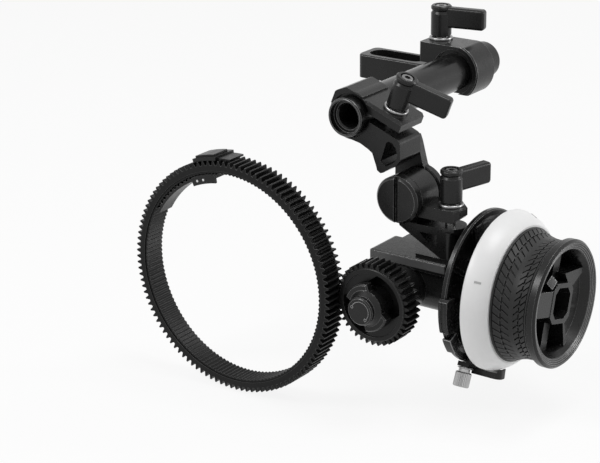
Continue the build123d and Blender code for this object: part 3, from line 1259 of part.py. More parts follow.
def wheel_socket():
    """Square socket with cut corners in the wheel's front."""
    socket = extrude(Rectangle(SOCKET_SIDE, SOCKET_SIDE), SOCKET_X - WEB_X1 + 1)
    return Pos(0, 0, WEB_X1) * chamfer(socket.edges().filter_by(Axis.Z), SOCKET_CHAMFER)


def handwheel_core():
    """Hub, back disc, drum, tube and front flange, with a square socket in front."""
    hub_x = WHEEL_X0 - WHEEL_HUB_LIP
    back_x = WHEEL_X0 + WHEEL_BACK_DISC
    drum = DISK_BORE_R - SEAT_FIT
    bore = SHAFT_R + SEAT_FIT
    seat_x = DISK_X1 + DISK_GAP
    flange_x = seat_x + GRIP_LENGTH
    core = turned([
        (bore, hub_x), (WHEEL_HUB_R, hub_x), (WHEEL_HUB_R, WHEEL_X0), (drum, WHEEL_X0), (drum, seat_x),
        (GRIP_SEAT_R, seat_x), (GRIP_SEAT_R, flange_x), (WHEEL_FLANGE_R - WHEEL_EDGE, flange_x),
        (WHEEL_FLANGE_R, flange_x + WHEEL_EDGE), (WHEEL_FLANGE_R, WHEEL_X1 - WHEEL_EDGE),
        (WHEEL_FLANGE_R - WHEEL_EDGE, WHEEL_X1), (WHEEL_LIP_R, WHEEL_X1),
        (WHEEL_MOUTH_R, WHEEL_X1 - WHEEL_MOUTH_DROP), (WHEEL_TUBE_R, WHEEL_X1 - WHEEL_MOUTH_DEPTH),
        (WHEEL_TUBE_R, WEB_X1), (bore, WEB_X1), (bore, WEB_X1 - WHEEL_WEB)])
    core -= turned([(WHEEL_HUB_R, back_x), (WHEEL_TUBE_R, back_x), (WHEEL_TUBE_R, WEB_X1 - WHEEL_WEB),
                    (WHEEL_HUB_R, WEB_X1 - WHEEL_WEB)])
    core += Rot(0, 0, FACE_TURN) * (wheel_face() - wheel_socket())
    hole = Cylinder(WHEEL_SCREW_R + STUD_CLEARANCE, WHEEL_WEB + 2, align=UP)
    core -= Pos(0, 0, WEB_X1 - WHEEL_WEB - 1) * hole
    flat = SHAFT_R - SHAFT_FLAT + SEAT_FIT
    key = Box(2 * SHAFT_R, SHAFT_R - flat + 0.5, SHAFT_TIP_X - hub_x,
              align=(Align.CENTER, Align.MIN, Align.MIN))
    return along_wheel(core + Pos(0, flat, hub_x) * key)


def handwheel_grip():
    """Waisted rubber sleeve on the wheel's tube."""
    start = DISK_X1 + DISK_GAP + 0.05
    end = start + GRIP_LENGTH - 0.1
    waist = start + GRIP_LENGTH * GRIP_WAIST_AT
    outer = Spline((GRIP_BACK_R, 0, start), (GRIP_WAIST_R + 1.0, 0, start + 4.4), (GRIP_WAIST_R, 0, waist),
                   (GRIP_FRONT_R, 0, end))
    inner = GRIP_SEAT_R + SEAT_FIT
    rest = Polyline((GRIP_FRONT_R, 0, end), (inner, 0, end), (inner, 0, start), (GRIP_BACK_R, 0, start))
    return along_wheel(revolve(make_face(outer + rest), Axis.Z, 360))


def wheel_retaining_screw():
    """Screw at the bottom of the square socket, into the shaft's end."""
    one = screw(WHEEL_SCREW_R, WHEEL_SCREW_LENGTH, WHEEL_SCREW_HEAD_R, WHEEL_SCREW_HEAD, 1.8)
    return along_wheel(Pos(0, 0, WEB_X1 + 0.02) * one)


def all_parts():
    """Every node by name."""
    mount_place = upright_place(MOUNT_STUD_X, MOUNT_STUD_Y, MOUNT_TOP, MOUNT_PADDLE_TURN)
    stud_x = PIVOT_X + BRACKET_STUD_X
    bracket_place = upright_place(stud_x, BRACKET_STUD_Y, EAR_Z, BRACKET_PADDLE_TURN)
    parts = {
        "mount_clamp": mount_clamp(),
        "support_rod": support_rod(),
        "arm_body": arm_body(),
        "arm_pivot_cap": arm_pivot_cap(),
        "bracket_body": bracket_body(),
        "bracket_screws": bracket_screws(),
        "gearbox_housing": gearbox_housing(),
        "gearbox_cover": gearbox_cover(),
        "cover_screws": cover_screws(),
        "wheel_shaft": wheel_shaft(),
        "drive_shaft": drive_shaft(),
        "wheel_bevel_gear": wheel_bevel_gear(),
        "drive_bevel_gear": drive_bevel_gear(),
        "wheel_shaft_bushes": wheel_shaft_bushes(),
        "drive_shaft_bushes": drive_shaft_bushes(),
        "wheel_shaft_ring": wheel_shaft_ring(),
        "drive_shaft_ring": drive_shaft_ring(),
        "drive_gear": drive_gear(),
        "gear_hub": gear_hub(),
        "gear_lock_pin": gear_lock_pin(),
        "gear_lock_knob": gear_lock_knob(),
        "lens_gear_ring": lens_gear_ring(),
        "lens_ring_liner": lens_ring_liner(),
        "lens_ring_strap": lens_ring_strap(),
        "lens_ring_buckle": lens_ring_buckle(),
        "lens_ring_clip": lens_ring_clip(),
        "lens_ring_pins": lens_ring_pins(),
        "stop_dish": stop_dish(),
        "dish_screws": dish_screws(),
        "stop_a": stop_a(),
        "stop_b": stop_b(),
        "pointer_arm": pointer_arm(),
        "pointer_thumbscrew": pointer_thumbscrew(),
        "thumbscrew_washer": thumbscrew_washer(),
        "marking_disk": marking_disk(),
        "handwheel_core": handwheel_core(),
        "handwheel_grip": handwheel_grip(),
        "wheel_retaining_screw": wheel_retaining_screw(),
    }
    parts.update(lever_set("mount", mount_place, MOUNT_TOP - MOUNT_PLATE_TOP + 6.0))
    parts.update(lever_set("arm", arm_ear_place(), 14.0))
    parts.update(lever_set("bracket", bracket_place, EAR_Z - LOWER_EAR_BOTTOM + 0.2))
    return parts


os.makedirs("parts", exist_ok=True)
for name, shape in all_parts().items():
    export_step(shape, f"parts/{name}.step")
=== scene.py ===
import bmesh
import bpy
import json
from math import cos, pi, radians, sin
from mathutils import Matrix, Vector

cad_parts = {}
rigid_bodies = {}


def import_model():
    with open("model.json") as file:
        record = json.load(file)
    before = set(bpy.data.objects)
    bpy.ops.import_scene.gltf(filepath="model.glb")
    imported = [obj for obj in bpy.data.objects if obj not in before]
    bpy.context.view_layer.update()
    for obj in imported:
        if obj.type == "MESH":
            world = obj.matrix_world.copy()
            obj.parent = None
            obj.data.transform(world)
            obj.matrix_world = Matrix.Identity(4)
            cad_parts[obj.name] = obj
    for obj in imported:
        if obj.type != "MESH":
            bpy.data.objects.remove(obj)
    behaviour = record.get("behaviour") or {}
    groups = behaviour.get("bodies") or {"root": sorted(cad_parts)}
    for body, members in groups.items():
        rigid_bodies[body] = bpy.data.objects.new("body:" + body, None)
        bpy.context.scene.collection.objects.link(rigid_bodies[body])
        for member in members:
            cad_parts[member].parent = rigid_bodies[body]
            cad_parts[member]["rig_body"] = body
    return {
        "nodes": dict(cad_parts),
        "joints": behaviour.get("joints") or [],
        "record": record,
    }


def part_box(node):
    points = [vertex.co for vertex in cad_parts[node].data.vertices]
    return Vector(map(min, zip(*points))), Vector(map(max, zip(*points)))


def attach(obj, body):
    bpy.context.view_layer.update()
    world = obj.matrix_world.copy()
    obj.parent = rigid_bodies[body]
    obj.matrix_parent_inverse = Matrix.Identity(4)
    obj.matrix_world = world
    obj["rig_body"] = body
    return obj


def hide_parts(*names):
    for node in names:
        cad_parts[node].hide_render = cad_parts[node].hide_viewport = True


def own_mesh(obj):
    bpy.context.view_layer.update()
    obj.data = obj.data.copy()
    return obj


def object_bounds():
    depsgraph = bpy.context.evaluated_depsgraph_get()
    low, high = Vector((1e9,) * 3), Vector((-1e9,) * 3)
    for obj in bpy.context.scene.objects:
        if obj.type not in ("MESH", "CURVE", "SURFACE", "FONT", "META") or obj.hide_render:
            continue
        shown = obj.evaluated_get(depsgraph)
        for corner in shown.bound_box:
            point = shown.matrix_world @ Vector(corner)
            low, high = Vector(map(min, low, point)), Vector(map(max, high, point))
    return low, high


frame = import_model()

cad_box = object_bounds()

# Follow focus unit. Lengths are written in millimetres and scaled by MM.
MM = 0.001
CENTRE = (0, 0, 0)
SMOOTH_ANGLE = radians(32)
# Points closer than this are one, in metres, and faces turned by less than this are one face
WELD = 2e-6
FLAT_ANGLE = radians(0.4)

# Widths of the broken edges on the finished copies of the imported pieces
EDGE_BROAD = 0.32
EDGE_PLAIN = 0.2
EDGE_SMALL = 0.12
EDGE_FINE = 0.06
EDGE_STEPS = 2

# The knob's front: width of its rim and depth of the flat inside it
CAP_RIM = 0.5
CAP_SUNK = 0.25


def grey(level):
    """A neutral colour."""
    return (level, level, level)


# Materials

def new_tree(name):
    """An empty node material and its tree."""
    material = bpy.data.materials.new(name)
    material.use_nodes = True
    material.node_tree.nodes.clear()
    return material, material.node_tree


def add_node(tree, kind, **inputs):
    """Adds a shader node and sets its named sockets."""
    node = tree.nodes.new(kind)
    for name, value in inputs.items():
        node.inputs[name.replace("_", " ")].default_value = value
    return node


# Parts of the noise between which the tint, the rubbing and the gloss change
TINT_PLACES = (0.35, 0.65)
RUB_PLACES = (0.6, 0.72)
GLOSS_PLACES = (0.3, 0.7)
# How much paler rubbed patches are, and how far the gloss strays to each side
RUB_GAIN = 2.2
RUB_LIFT = 0.01
GLOSS_BELOW = 0.05
GLOSS_ABOVE = 0.06
GLOSS_LEAST = 0.03
WEAR_FINER = 7
GRAIN_HEIGHT = 0.00004


def make_finish(name, dark, light, rough, metal=0.0, grain=0.2, grain_size=2400, drift_size=60.0,
                rub=0.0, shine=0.5, stretch=(1, 1, 1)):
    """A finish with colour drift, uneven gloss, rubbed patches and a fine grain, by object coordinates."""
    material, tree = new_tree(name)
    link = tree.links.new
    out = add_node(tree, "ShaderNodeOutputMaterial")
    shell = add_node(tree, "ShaderNodeBsdfPrincipled", Metallic=metal, Specular_IOR_Level=shine)
    where = add_node(tree, "ShaderNodeTexCoord")
    drift = add_node(tree, "ShaderNodeTexNoise", Scale=drift_size, Detail=4.0, Roughness=0.6)
    tint = add_node(tree, "ShaderNodeValToRGB")
    for element, place, colour in zip(tint.color_ramp.elements, TINT_PLACES, (dark, light)):
        element.position = place
        element.color = (*colour, 1)
    wear = add_node(tree, "ShaderNodeTexNoise", Scale=drift_size * WEAR_FINER, Detail=6.0, Roughness=0.7)
    rubbed = add_node(tree, "ShaderNodeMapRange", From_Min=RUB_PLACES[0], From_Max=RUB_PLACES[1],
                      To_Min=0.0, To_Max=rub)
    paler = add_node(tree, "ShaderNodeMix")
    paler.data_type = "RGBA"
    paler.inputs["B"].default_value = (*[min(1.0, RUB_GAIN * c + RUB_LIFT) for c in light], 1)
    gloss = add_node(tree, "ShaderNodeMapRange", From_Min=GLOSS_PLACES[0], From_Max=GLOSS_PLACES[1],
                     To_Min=max(rough - GLOSS_BELOW, GLOSS_LEAST), To_Max=rough + GLOSS_ABOVE)
    spread = add_node(tree, "ShaderNodeMapping", Scale=stretch)
    fine = add_node(tree, "ShaderNodeTexNoise", Scale=grain_size, Detail=3.0)
    bump = add_node(tree, "ShaderNodeBump", Strength=grain, Distance=GRAIN_HEIGHT)
    link(where.outputs["Object"], drift.inputs["Vector"])
    link(where.outputs["Object"], wear.inputs["Vector"])
    link(where.outputs["Object"], spread.inputs["Vector"])
    link(spread.outputs["Vector"], fine.inputs["Vector"])
    link(drift.outputs["Fac"], tint.inputs["Fac"])
    link(wear.outputs["Fac"], rubbed.inputs["Value"])
    link(rubbed.outputs["Result"], paler.inputs["Factor"])
    link(tint.outputs["Color"], paler.inputs["A"])
    link(paler.outputs["Result"], shell.inputs["Base Color"])
    link(wear.outputs["Fac"], gloss.inputs["Value"])
    link(gloss.outputs["Result"], shell.inputs["Roughness"])
    link(fine.outputs["Fac"], bump.inputs["Height"])
    link(bump.outputs["Normal"], shell.inputs["Normal"])
    link(shell.outputs["BSDF"], out.inputs["Surface"])
    return material


# How the fine grain is drawn out on turned and on drawn metal
TURNED = (0.05, 1, 1)
DRAWN = (1, 0.06, 1)

FINISHES = {
    "black_metal": make_finish("black_anodised", grey(0.006), grey(0.01), 0.28, 0.0, 0.08,
                               rub=0.06, shine=0.28),
    "rod_metal": make_finish("rod_anodised", grey(0.005), grey(0.008), 0.22, 0.0, 0.01,
                             shine=0.3, stretch=DRAWN),
    "dish_metal": make_finish("dish_black", grey(0.004), grey(0.007), 0.24, 0.0, 0.06,
                              shine=0.24, stretch=TURNED),
    "screw_steel": make_finish("blackened_screw", grey(0.05), grey(0.08), 0.35, 1.0, 0.1),
    "lever_screw_steel": make_finish("lever_screw", grey(0.2), grey(0.3), 0.28, 1.0, 0.1),
    "washer_steel": make_finish("washer_steel", grey(0.25), grey(0.36), 0.3, 1.0, 0.1),
    "bright_steel": make_finish("bright_steel", grey(0.5), grey(0.62), 0.22, 1.0, 0.1, rub=0.2),
    "gear_steel": make_finish("gear_steel", grey(0.32), grey(0.42), 0.32, 1.0, 0.15),
    "bush_brass": make_finish("bush_brass", (0.5, 0.36, 0.14), (0.6, 0.43, 0.18), 0.3, 1.0, 0.1),
    "thumb_steel": make_finish("thumb_steel", grey(0.36), grey(0.46), 0.42, 1.0, 0.1),
    "gear_plastic": make_finish("gear_plastic", grey(0.004), grey(0.007), 0.3, 0.0, 0.15, shine=0.22),
    "ring_rubber": make_finish("ring_rubber", grey(0.003), grey(0.006), 0.4, 0.0, 0.3, 1800,
                               rub=0.1, shine=0.18),
    "strap_plastic": make_finish("strap_plastic", grey(0.006), grey(0.01), 0.34, 0.0, 0.2, shine=0.25),
    "white_plastic": make_finish("white_plastic", grey(0.8), grey(0.84), 0.36, 0.0, 0.08),
    "grip_rubber": make_finish("grip_rubber", grey(0.016), grey(0.024), 0.44, 0.0, 0.3, 1500,
                               rub=0.1, shine=0.25),
}
# Paler finishes for the broken edges: partly real wear, partly painted highlight that lights every edge
# whatever the lamps do
EDGE_WEAR_AND_SHEEN = {
    "black_metal": make_finish("black_edge_wear_and_sheen", grey(0.13), grey(0.24), 0.28, 0.5, 0.05),
    "dish_metal": make_finish("dish_edge_wear_and_sheen", grey(0.1), grey(0.18), 0.24, 0.5, 0.05),
    "rod_metal": make_finish("rod_edge_wear_and_sheen", grey(0.07), grey(0.13), 0.24, 0.4, 0.05),
    "gear_plastic": make_finish("gear_edge_wear_and_sheen", grey(0.03), grey(0.055), 0.28, 0.1, 0.05),
    "ring_rubber": make_finish("rubber_edge_wear_and_sheen", grey(0.014), grey(0.028), 0.36, 0.0, 0.1),
    "strap_plastic": make_finish("strap_edge_wear_and_sheen", grey(0.03), grey(0.06), 0.28, 0.0, 0.05),
    "grip_rubber": make_finish("grip_edge_wear_and_sheen", grey(0.03), grey(0.05), 0.32, 0.0, 0.1),
}
INK = make_finish("pale_mark_paint", grey(0.3), grey(0.42), 0.5, 0.0, 0.05)
# Paler grey for the strip on the gearbox front: painted reflection
BAND_PAINTED_SHEEN = make_finish("painted_sheen_band", grey(0.085), grey(0.1), 0.4, 0.0, 0.06, rub=0.05)
PENCIL = make_finish("grey_pencil", grey(0.38), grey(0.46), 0.6, 0.0, 0.05)


# Meshes

slot_of = {entry["node"]: entry["material_slot"] for entry in frame["record"]["subparts"]}
body_of = {name: node["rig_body"] for name, node in frame["nodes"].items()}


def link_object(name, data):
    """Puts an object in the scene, at the origin."""
    thing = bpy.data.objects.new(name, data)
    bpy.context.scene.collection.objects.link(thing)
    return thing


def finish_piece(bm, name, body, slot, edge_faces=(), replaced=(), material=None):
    """Turns a bmesh into a shaded piece on a body, with the materials of its slot."""
    for face in edge_faces:
        if face.is_valid:
            face.material_index = 1
    mesh = bpy.data.meshes.new(name)
    bm.to_mesh(mesh)
    bm.free()
    mesh.shade_smooth()
    mesh.set_sharp_from_angle(angle=SMOOTH_ANGLE)
    piece = link_object(name, mesh)
    mesh.materials.append(material or FINISHES[slot])
    # Edge faces take the paler edge finish: partly real wear, partly painted highlight
    if edge_faces:
        mesh.materials.append(EDGE_WEAR_AND_SHEEN.get(slot, FINISHES[slot]))
    piece.modifiers.new("even_shading", "WEIGHTED_NORMAL").keep_sharp = True
    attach(piece, body)
    for node in replaced:
        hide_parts(node)


def break_edges(bm, width):
    """Rounds every sharp edge by a small width, and gives back the new faces."""
    sharp = [e for e in bm.edges if e.is_manifold and e.calc_face_angle() > SMOOTH_ANGLE]
    done = bmesh.ops.bevel(bm, geom=sharp, offset=width * MM, offset_type="OFFSET", affect="EDGES",
                           segments=EDGE_STEPS, profile=0.5, material=-1, clamp_overlap=True)
    return done["faces"]


def sink_cap(bm):
    """Sinks the flat front of the knob inside a narrow rim."""
    front = min(v.co.y for v in bm.verts)
    cap = [f for f in bm.faces if abs(f.calc_center_median().y - front) < WELD and f.normal.y < -0.99]
    bmesh.ops.inset_region(bm, faces=cap, thickness=CAP_RIM * MM, depth=0.0, use_even_offset=True)
    bmesh.ops.translate(bm, verts=list({v for f in cap for v in f.verts}), vec=(0, CAP_SUNK * MM, 0))


def finished_copy(node, width):
    """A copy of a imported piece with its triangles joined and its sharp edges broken."""
    bm = bmesh.new()
    bm.from_mesh(frame["nodes"][node].data)
    bmesh.ops.remove_doubles(bm, verts=bm.verts, dist=WELD)
    bmesh.ops.dissolve_limit(bm, angle_limit=FLAT_ANGLE, verts=bm.verts, edges=bm.edges)
    edges = break_edges(bm, width)
    if node == "gear_lock_knob":
        sink_cap(bm)
    slot = slot_of[node]
    # The broken edges get the paler edge finish: partly real rubbing, partly painted highlight
    rubbed = edges if slot in EDGE_WEAR_AND_SHEEN else ()
    finish_piece(bm, node + "_finished", body_of[node], slot, rubbed, [node])


def spin_profile(bm, profile, steps, angle=2 * pi):
    """Spins a closed outline of (radius, height) in millimetres about Z."""
    rim = [bm.verts.new((r * MM, 0, z * MM)) for r, z in profile]
    loop = [bm.edges.new((a, b)) for a, b in zip(rim, rim[1:] + rim[:1])]
    full = angle > 2 * pi - 0.001
    bmesh.ops.spin(bm, geom=rim + loop, cent=CENTRE, axis=(0, 0, 1), steps=steps, angle=angle,
                   use_merge=full)
    bmesh.ops.remove_doubles(bm, verts=bm.verts, dist=WELD)
    if not full:
        bmesh.ops.holes_fill(bm, edges=[e for e in bm.edges if e.is_boundary], sides=0)
    bmesh.ops.recalc_face_normals(bm, faces=bm.faces)


RING_SIDES = 6


def ring_profile(radius, height, thick):
    """A small round section for a ring about Z."""
    turns = [2 * pi * i / RING_SIDES for i in range(RING_SIDES)]
    return [(radius + thick * cos(a), height + thick * sin(a)) for a in turns]


def turn_mesh(bm, verts, degrees, axis):
    """Turns vertices about an axis through the centre."""
    bmesh.ops.rotate(bm, verts=verts, cent=CENTRE, matrix=Matrix.Rotation(radians(degrees), 3, axis))


def axis_centre(node):
    """The middle of a node's box, in metres."""
    low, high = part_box(node)
    return (Vector(low) + Vector(high)) / 2


# Places of the turning axes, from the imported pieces
wheel_mid = axis_centre("handwheel_core")
gear_mid = axis_centre("drive_gear")
ALONG_WHEEL = Matrix(((0, 0, 1, 0), (1, 0, 0, wheel_mid.y), (0, 1, 0, wheel_mid.z), (0, 0, 0, 1)))
ALONG_GEAR = Matrix(((1, 0, 0, gear_mid.x), (0, 0, -1, 0), (0, 1, 0, gear_mid.z), (0, 0, 0, 1)))
ALONG_ROD = Matrix(((1, 0, 0, 0), (0, 0, -1, 0), (0, 1, 0, 0), (0, 0, 0, 1)))


# Handwheel grip

GRIP_WAIST_R = 22.8
GRIP_FRONT_R = 23.3
GRIP_SEAT_R = 21.15
GRIP_WAIST_AT = 0.72
GROOVE = 0.75
GROOVE_WIDTH = 0.6
TREAD_EDGE = 0.13
BRIDGE_OVERLAP = 0.2
GRIP_STEPS_ALONG = 14
GRIP_STEPS_ROUND = 144
# Where each end's lip gives way to the sunk floor, and the slope between floor and waist
BACK_LIP = (0.5, 0.7)
FRONT_LIP = (0.8, 0.6)
WAIST_SLOPE = 0.1
# For each band of the tread: blocks in a row, the edges of its two rows along the grip, and their lean
GRIP_BANDS = ((50, (0.8, 3.2, 3.75, 6.4), 0.9), (54, (8.0, 9.9, 10.4, 12.5), -1.1))
grip_low, grip_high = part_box("handwheel_grip")
GRIP_START = grip_low[0] / MM
GRIP_LENGTH = (grip_high[0] - grip_low[0]) / MM
GRIP_BACK_R = (grip_high[1] - grip_low[1]) / 2 / MM


def grip_radius(along):
    """The grip's outer radius at a distance in front of its back edge."""
    waist = GRIP_WAIST_AT * GRIP_LENGTH
    if along < waist:
        return GRIP_WAIST_R + (GRIP_BACK_R - GRIP_WAIST_R) * (1 - along / waist) ** 2
    return GRIP_WAIST_R + (GRIP_FRONT_R - GRIP_WAIST_R) * ((along - waist) / (GRIP_LENGTH - waist)) ** 2


def tread_block(bm, turn, width, start, end, lean):
    """One raised block of the tread, bent round the grip."""
    made = bmesh.ops.create_cube(bm, size=1.0)
    verts = made["verts"]
    bmesh.ops.scale(bm, verts=verts, vec=(width, end - start, 2 * GROOVE))
    bmesh.ops.translate(bm, verts=verts, vec=(0, (start + end) / 2, -GROOVE))
    top = [e for e in {e for v in verts for e in v.link_edges} if all(v.co.z > -GROOVE for v in e.verts)]
    done = bmesh.ops.bevel(bm, geom=top, offset=TREAD_EDGE, offset_type="OFFSET", affect="EDGES",
                           segments=1, profile=0.5, material=-1, clamp_overlap=True)
    block = {v for f in done["faces"] for v in f.verts} | {v for v in verts if v.is_valid}
    for vert in block:
        x, y, z = vert.co
        r = grip_radius(y) + z
        angle = turn + (x + lean * (y - start)) / GRIP_BACK_R
        vert.co = (r * cos(angle) * MM, r * sin(angle) * MM, (GRIP_START + y) * MM)
    return done["faces"]


def grip():
    """Rubber sleeve with two bands of slanted, staggered blocks and a smooth waist between them."""
    bm = bmesh.new()
    rims = []
    waist = (GRIP_BANDS[0][1][3] - WAIST_SLOPE, GRIP_BANDS[1][1][0] + WAIST_SLOPE)
    outline = [(GRIP_SEAT_R, GRIP_START), (grip_radius(0), GRIP_START),
               (grip_radius(BACK_LIP[0]), GRIP_START + BACK_LIP[0])]
    for start, end, sunk in ((BACK_LIP[1], waist[0] - WAIST_SLOPE, GROOVE), (waist[0], waist[1], 0.0),
                             (waist[1] + WAIST_SLOPE, GRIP_LENGTH - FRONT_LIP[0], GROOVE)):
        for i in range(GRIP_STEPS_ALONG + 1):
            along = start + (end - start) * i / GRIP_STEPS_ALONG
            outline.append((grip_radius(along) - sunk, GRIP_START + along))
    outline += [(grip_radius(GRIP_LENGTH - FRONT_LIP[1]), GRIP_START + GRIP_LENGTH - FRONT_LIP[1]),
                (grip_radius(GRIP_LENGTH), GRIP_START + GRIP_LENGTH), (GRIP_SEAT_R, GRIP_START + GRIP_LENGTH)]
    spin_profile(bm, outline, GRIP_STEPS_ROUND)
    for count, (start, split, rejoin, end), lean in GRIP_BANDS:
        pitch = 2 * pi / count
        wide = GRIP_BACK_R * pitch - GROOVE_WIDTH
        bridge = (wide / 2 - GROOVE_WIDTH / 2, split - BRIDGE_OVERLAP, rejoin + BRIDGE_OVERLAP)
        for i in range(count):
            rims += tread_block(bm, pitch * i, wide, start, split, lean)
            rims += tread_block(bm, pitch * (i + 0.5), wide, rejoin, end, lean)
            tread_block(bm, pitch * (i + 0.25), *bridge, lean)
    bmesh.ops.transform(bm, matrix=ALONG_WHEEL, verts=bm.verts)
    bmesh.ops.recalc_face_normals(bm, faces=bm.faces)
    # The rounded rims of the blocks take the paler grip edge finish: painted glints along the groove edges,
    # partly wear
    finish_piece(bm, "grip_tread", "wheel", "grip_rubber", rims, ["handwheel_grip"])


# Handwheel face, with its turns in degrees

MOUTH_RINGS = (21.0, 21.65, 22.3, 22.95)
RING_THICK = 0.16
RING_SUNK = 0.03
RING_STEPS = 96
MOUTH_DROP = 1.2
MOUTH_R = 20.6
LIP_R = 23.2
FACE_TURN = -15.5
FACET_SIZE = (4.2, 3.4, 3.0)
FACET_TILT = -30
FACET_CORNER = 45
FACET_AT = (-7.6, 7.4, -4.4)
WHEEL_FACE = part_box("handwheel_core")[1][0] / MM


def mouth_rings():
    """Fine turned ridges on the sloping mouth of the wheel, coloured all over with the paler edge finish as
    painted highlight lines.
    """
    bm = bmesh.new()
    for radius in MOUTH_RINGS:
        drop = MOUTH_DROP * (LIP_R - radius) / (LIP_R - MOUTH_R)
        spin_profile(bm, ring_profile(radius, WHEEL_FACE - drop - RING_SUNK, RING_THICK), RING_STEPS)
    bmesh.ops.transform(bm, matrix=ALONG_WHEEL, verts=bm.verts)
    finish_piece(bm, "mouth_rings", "wheel", "black_metal", material=EDGE_WEAR_AND_SHEEN["black_metal"])


def socket_facet():
    """Bright sloping flat on the frame's upper left corner."""
    bm = bmesh.new()
    bmesh.ops.create_cube(bm, size=1.0)
    bmesh.ops.scale(bm, verts=bm.verts, vec=[side * MM for side in FACET_SIZE])
    edges = break_edges(bm, EDGE_PLAIN)
    turn_mesh(bm, bm.verts, FACET_TILT, "X")
    turn_mesh(bm, bm.verts, FACET_CORNER, "Z")
    bmesh.ops.translate(bm, verts=bm.verts, vec=(Vector(FACET_AT) + Vector((0, 0, WHEEL_FACE))) * MM)
    turn_mesh(bm, bm.verts, FACE_TURN, "Z")
    bmesh.ops.transform(bm, matrix=ALONG_WHEEL, verts=bm.verts)
    finish_piece(bm, "socket_facet", "wheel", "black_metal", edges)


# Marking disk ticks, with their turns and tilt in degrees

TICK_TURNS = (62.0, 155.0)
TICK_RADIUS = 29.53
TICK_AT = 61.3
TICK_TILT = -26.5
TICK_SIZE = (0.2, 0.8, 2.6)


def disk_ticks():
    """Two faint marks across the write-on disk's cone."""
    bm = bmesh.new()
    for turn in TICK_TURNS:
        made = bmesh.ops.create_cube(bm, size=1.0)
        verts = made["verts"]
        bmesh.ops.scale(bm, verts=verts, vec=[side * MM for side in TICK_SIZE])
        turn_mesh(bm, verts, TICK_TILT, "Y")
        bmesh.ops.translate(bm, verts=verts, vec=(TICK_RADIUS * MM, 0, TICK_AT * MM))
        turn_mesh(bm, verts, turn, "Z")
    bmesh.ops.transform(bm, matrix=ALONG_WHEEL, verts=bm.verts)
    finish_piece(bm, "disk_ticks", "wheel", "white_plastic", material=PENCIL)


# Thumbscrew

THUMB_RIDGES = 26
THUMB_R = 3.1
THUMB_VALLEY = 0.91
THUMB_KNOB = 5.7
THUMB_COLLAR = 1.2
THUMB_COLLAR_R = 2.2
THUMB_SHANK_R = 1.5
THUMB_BORE_R = 0.2
THUMB_OVERLAP = 0.3
THUMB_CHAMFER = 0.4
THUMB_STEPS = 32


def thumbscrew():
    """Knurled knob with a collar and a shank, standing square to the dish's rim."""
    low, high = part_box("pointer_thumbscrew")
    middle = (Vector(low) + Vector(high)) / 2
    out = Vector((0, middle.y - wheel_mid.y, middle.z - wheel_mid.z)).normalized()
    turn = out.to_track_quat("Z", "X").to_matrix().to_4x4()
    reach = {v.co.dot(out) for v in frame["nodes"]["pointer_thumbscrew"].data.vertices}
    foot, tip = min(reach) / MM, max(reach) / MM
    knob = tip - THUMB_KNOB
    bm = bmesh.new()
    under, inside = knob - THUMB_COLLAR, knob + THUMB_OVERLAP
    spin_profile(bm, [(THUMB_BORE_R, foot), (THUMB_SHANK_R, foot), (THUMB_SHANK_R, under),
                      (THUMB_COLLAR_R, under), (THUMB_COLLAR_R, inside), (THUMB_BORE_R, inside)], THUMB_STEPS)
    made = bmesh.ops.create_circle(bm, cap_ends=True, radius=THUMB_R * MM, segments=2 * THUMB_RIDGES)
    for vert in made["verts"][::2]:
        vert.co *= THUMB_VALLEY
    bmesh.ops.translate(bm, verts=made["verts"], vec=(0, 0, knob * MM))
    cap = [f for f in made["verts"][0].link_faces if len(f.verts) > 4]
    grown = bmesh.ops.extrude_face_region(bm, geom=cap, use_keep_orig=True)
    lifted = [g for g in grown["geom"] if isinstance(g, bmesh.types.BMVert)]
    bmesh.ops.translate(bm, verts=lifted, vec=(0, 0, THUMB_KNOB * MM))
    bmesh.ops.recalc_face_normals(bm, faces=bm.faces)
    ends = [f for f in bm.faces if len(f.verts) > 8 and abs(f.normal.z) > 0.9]
    bmesh.ops.inset_individual(bm, faces=ends, thickness=THUMB_CHAMFER * MM, depth=0.0)
    flat = {v for f in ends for v in f.verts}
    for vert in {v for f in bm.faces for v in f.verts if len(f.verts) == 4} - flat:
        if any(f in ends for e in vert.link_edges for f in e.other_vert(vert).link_faces):
            vert.co.z += THUMB_CHAMFER * MM * (-1 if vert.co.z > (knob + 1) * MM else 1)
    base = Vector((low[0] + high[0], 2 * wheel_mid.y, 2 * wheel_mid.z)) / 2
    base -= out * base.dot(out)
    bmesh.ops.transform(bm, matrix=Matrix.Translation(base) @ turn, verts=bm.verts)
    bmesh.ops.recalc_face_normals(bm, faces=bm.faces)
    finish_piece(bm, "thumbscrew_knurled", "thumbscrew", "thumb_steel", replaced=["pointer_thumbscrew"])


# Gearbox front band, a painted reflection

BAND_HIGH = 2.9
BAND_DEEP = 1.0
BAND_PROUD = 0.04
BAND_EDGE = 0.5
BAND_LEFT_GAP = 1.6
BAND_RIGHT_GAP = 0.05
BAND_BEVEL = 0.02


def front_band():
    """Strip along the top of the gearbox's front, coloured paler as a painted reflection of the light."""
    low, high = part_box("gearbox_housing")
    left, right = low[0] / MM + BAND_LEFT_GAP, high[0] / MM - BAND_RIGHT_GAP
    top = high[2] / MM - BAND_EDGE
    verts = frame["nodes"]["gearbox_housing"].data.vertices
    front = min(v.co.y for v in verts if v.co.z > high[2] - MM) / MM
    bm = bmesh.new()
    bmesh.ops.create_cube(bm, size=1.0)
    bmesh.ops.scale(bm, verts=bm.verts, vec=((right - left) * MM, BAND_DEEP * MM, BAND_HIGH * MM))
    middle = ((left + right) / 2 * MM, (front - BAND_EDGE - BAND_PROUD + BAND_DEEP / 2) * MM,
              (top - BAND_HIGH / 2) * MM)
    bmesh.ops.translate(bm, verts=bm.verts, vec=middle)
    bmesh.ops.bevel(bm, geom=list(bm.edges), offset=BAND_BEVEL * MM, offset_type="OFFSET",
                    affect="EDGES", segments=1, profile=0.5, material=-1)
    finish_piece(bm, "gearbox_band", body_of["gearbox_housing"], "black_metal", material=BAND_PAINTED_SHEEN)


# Drive gear and knob marks

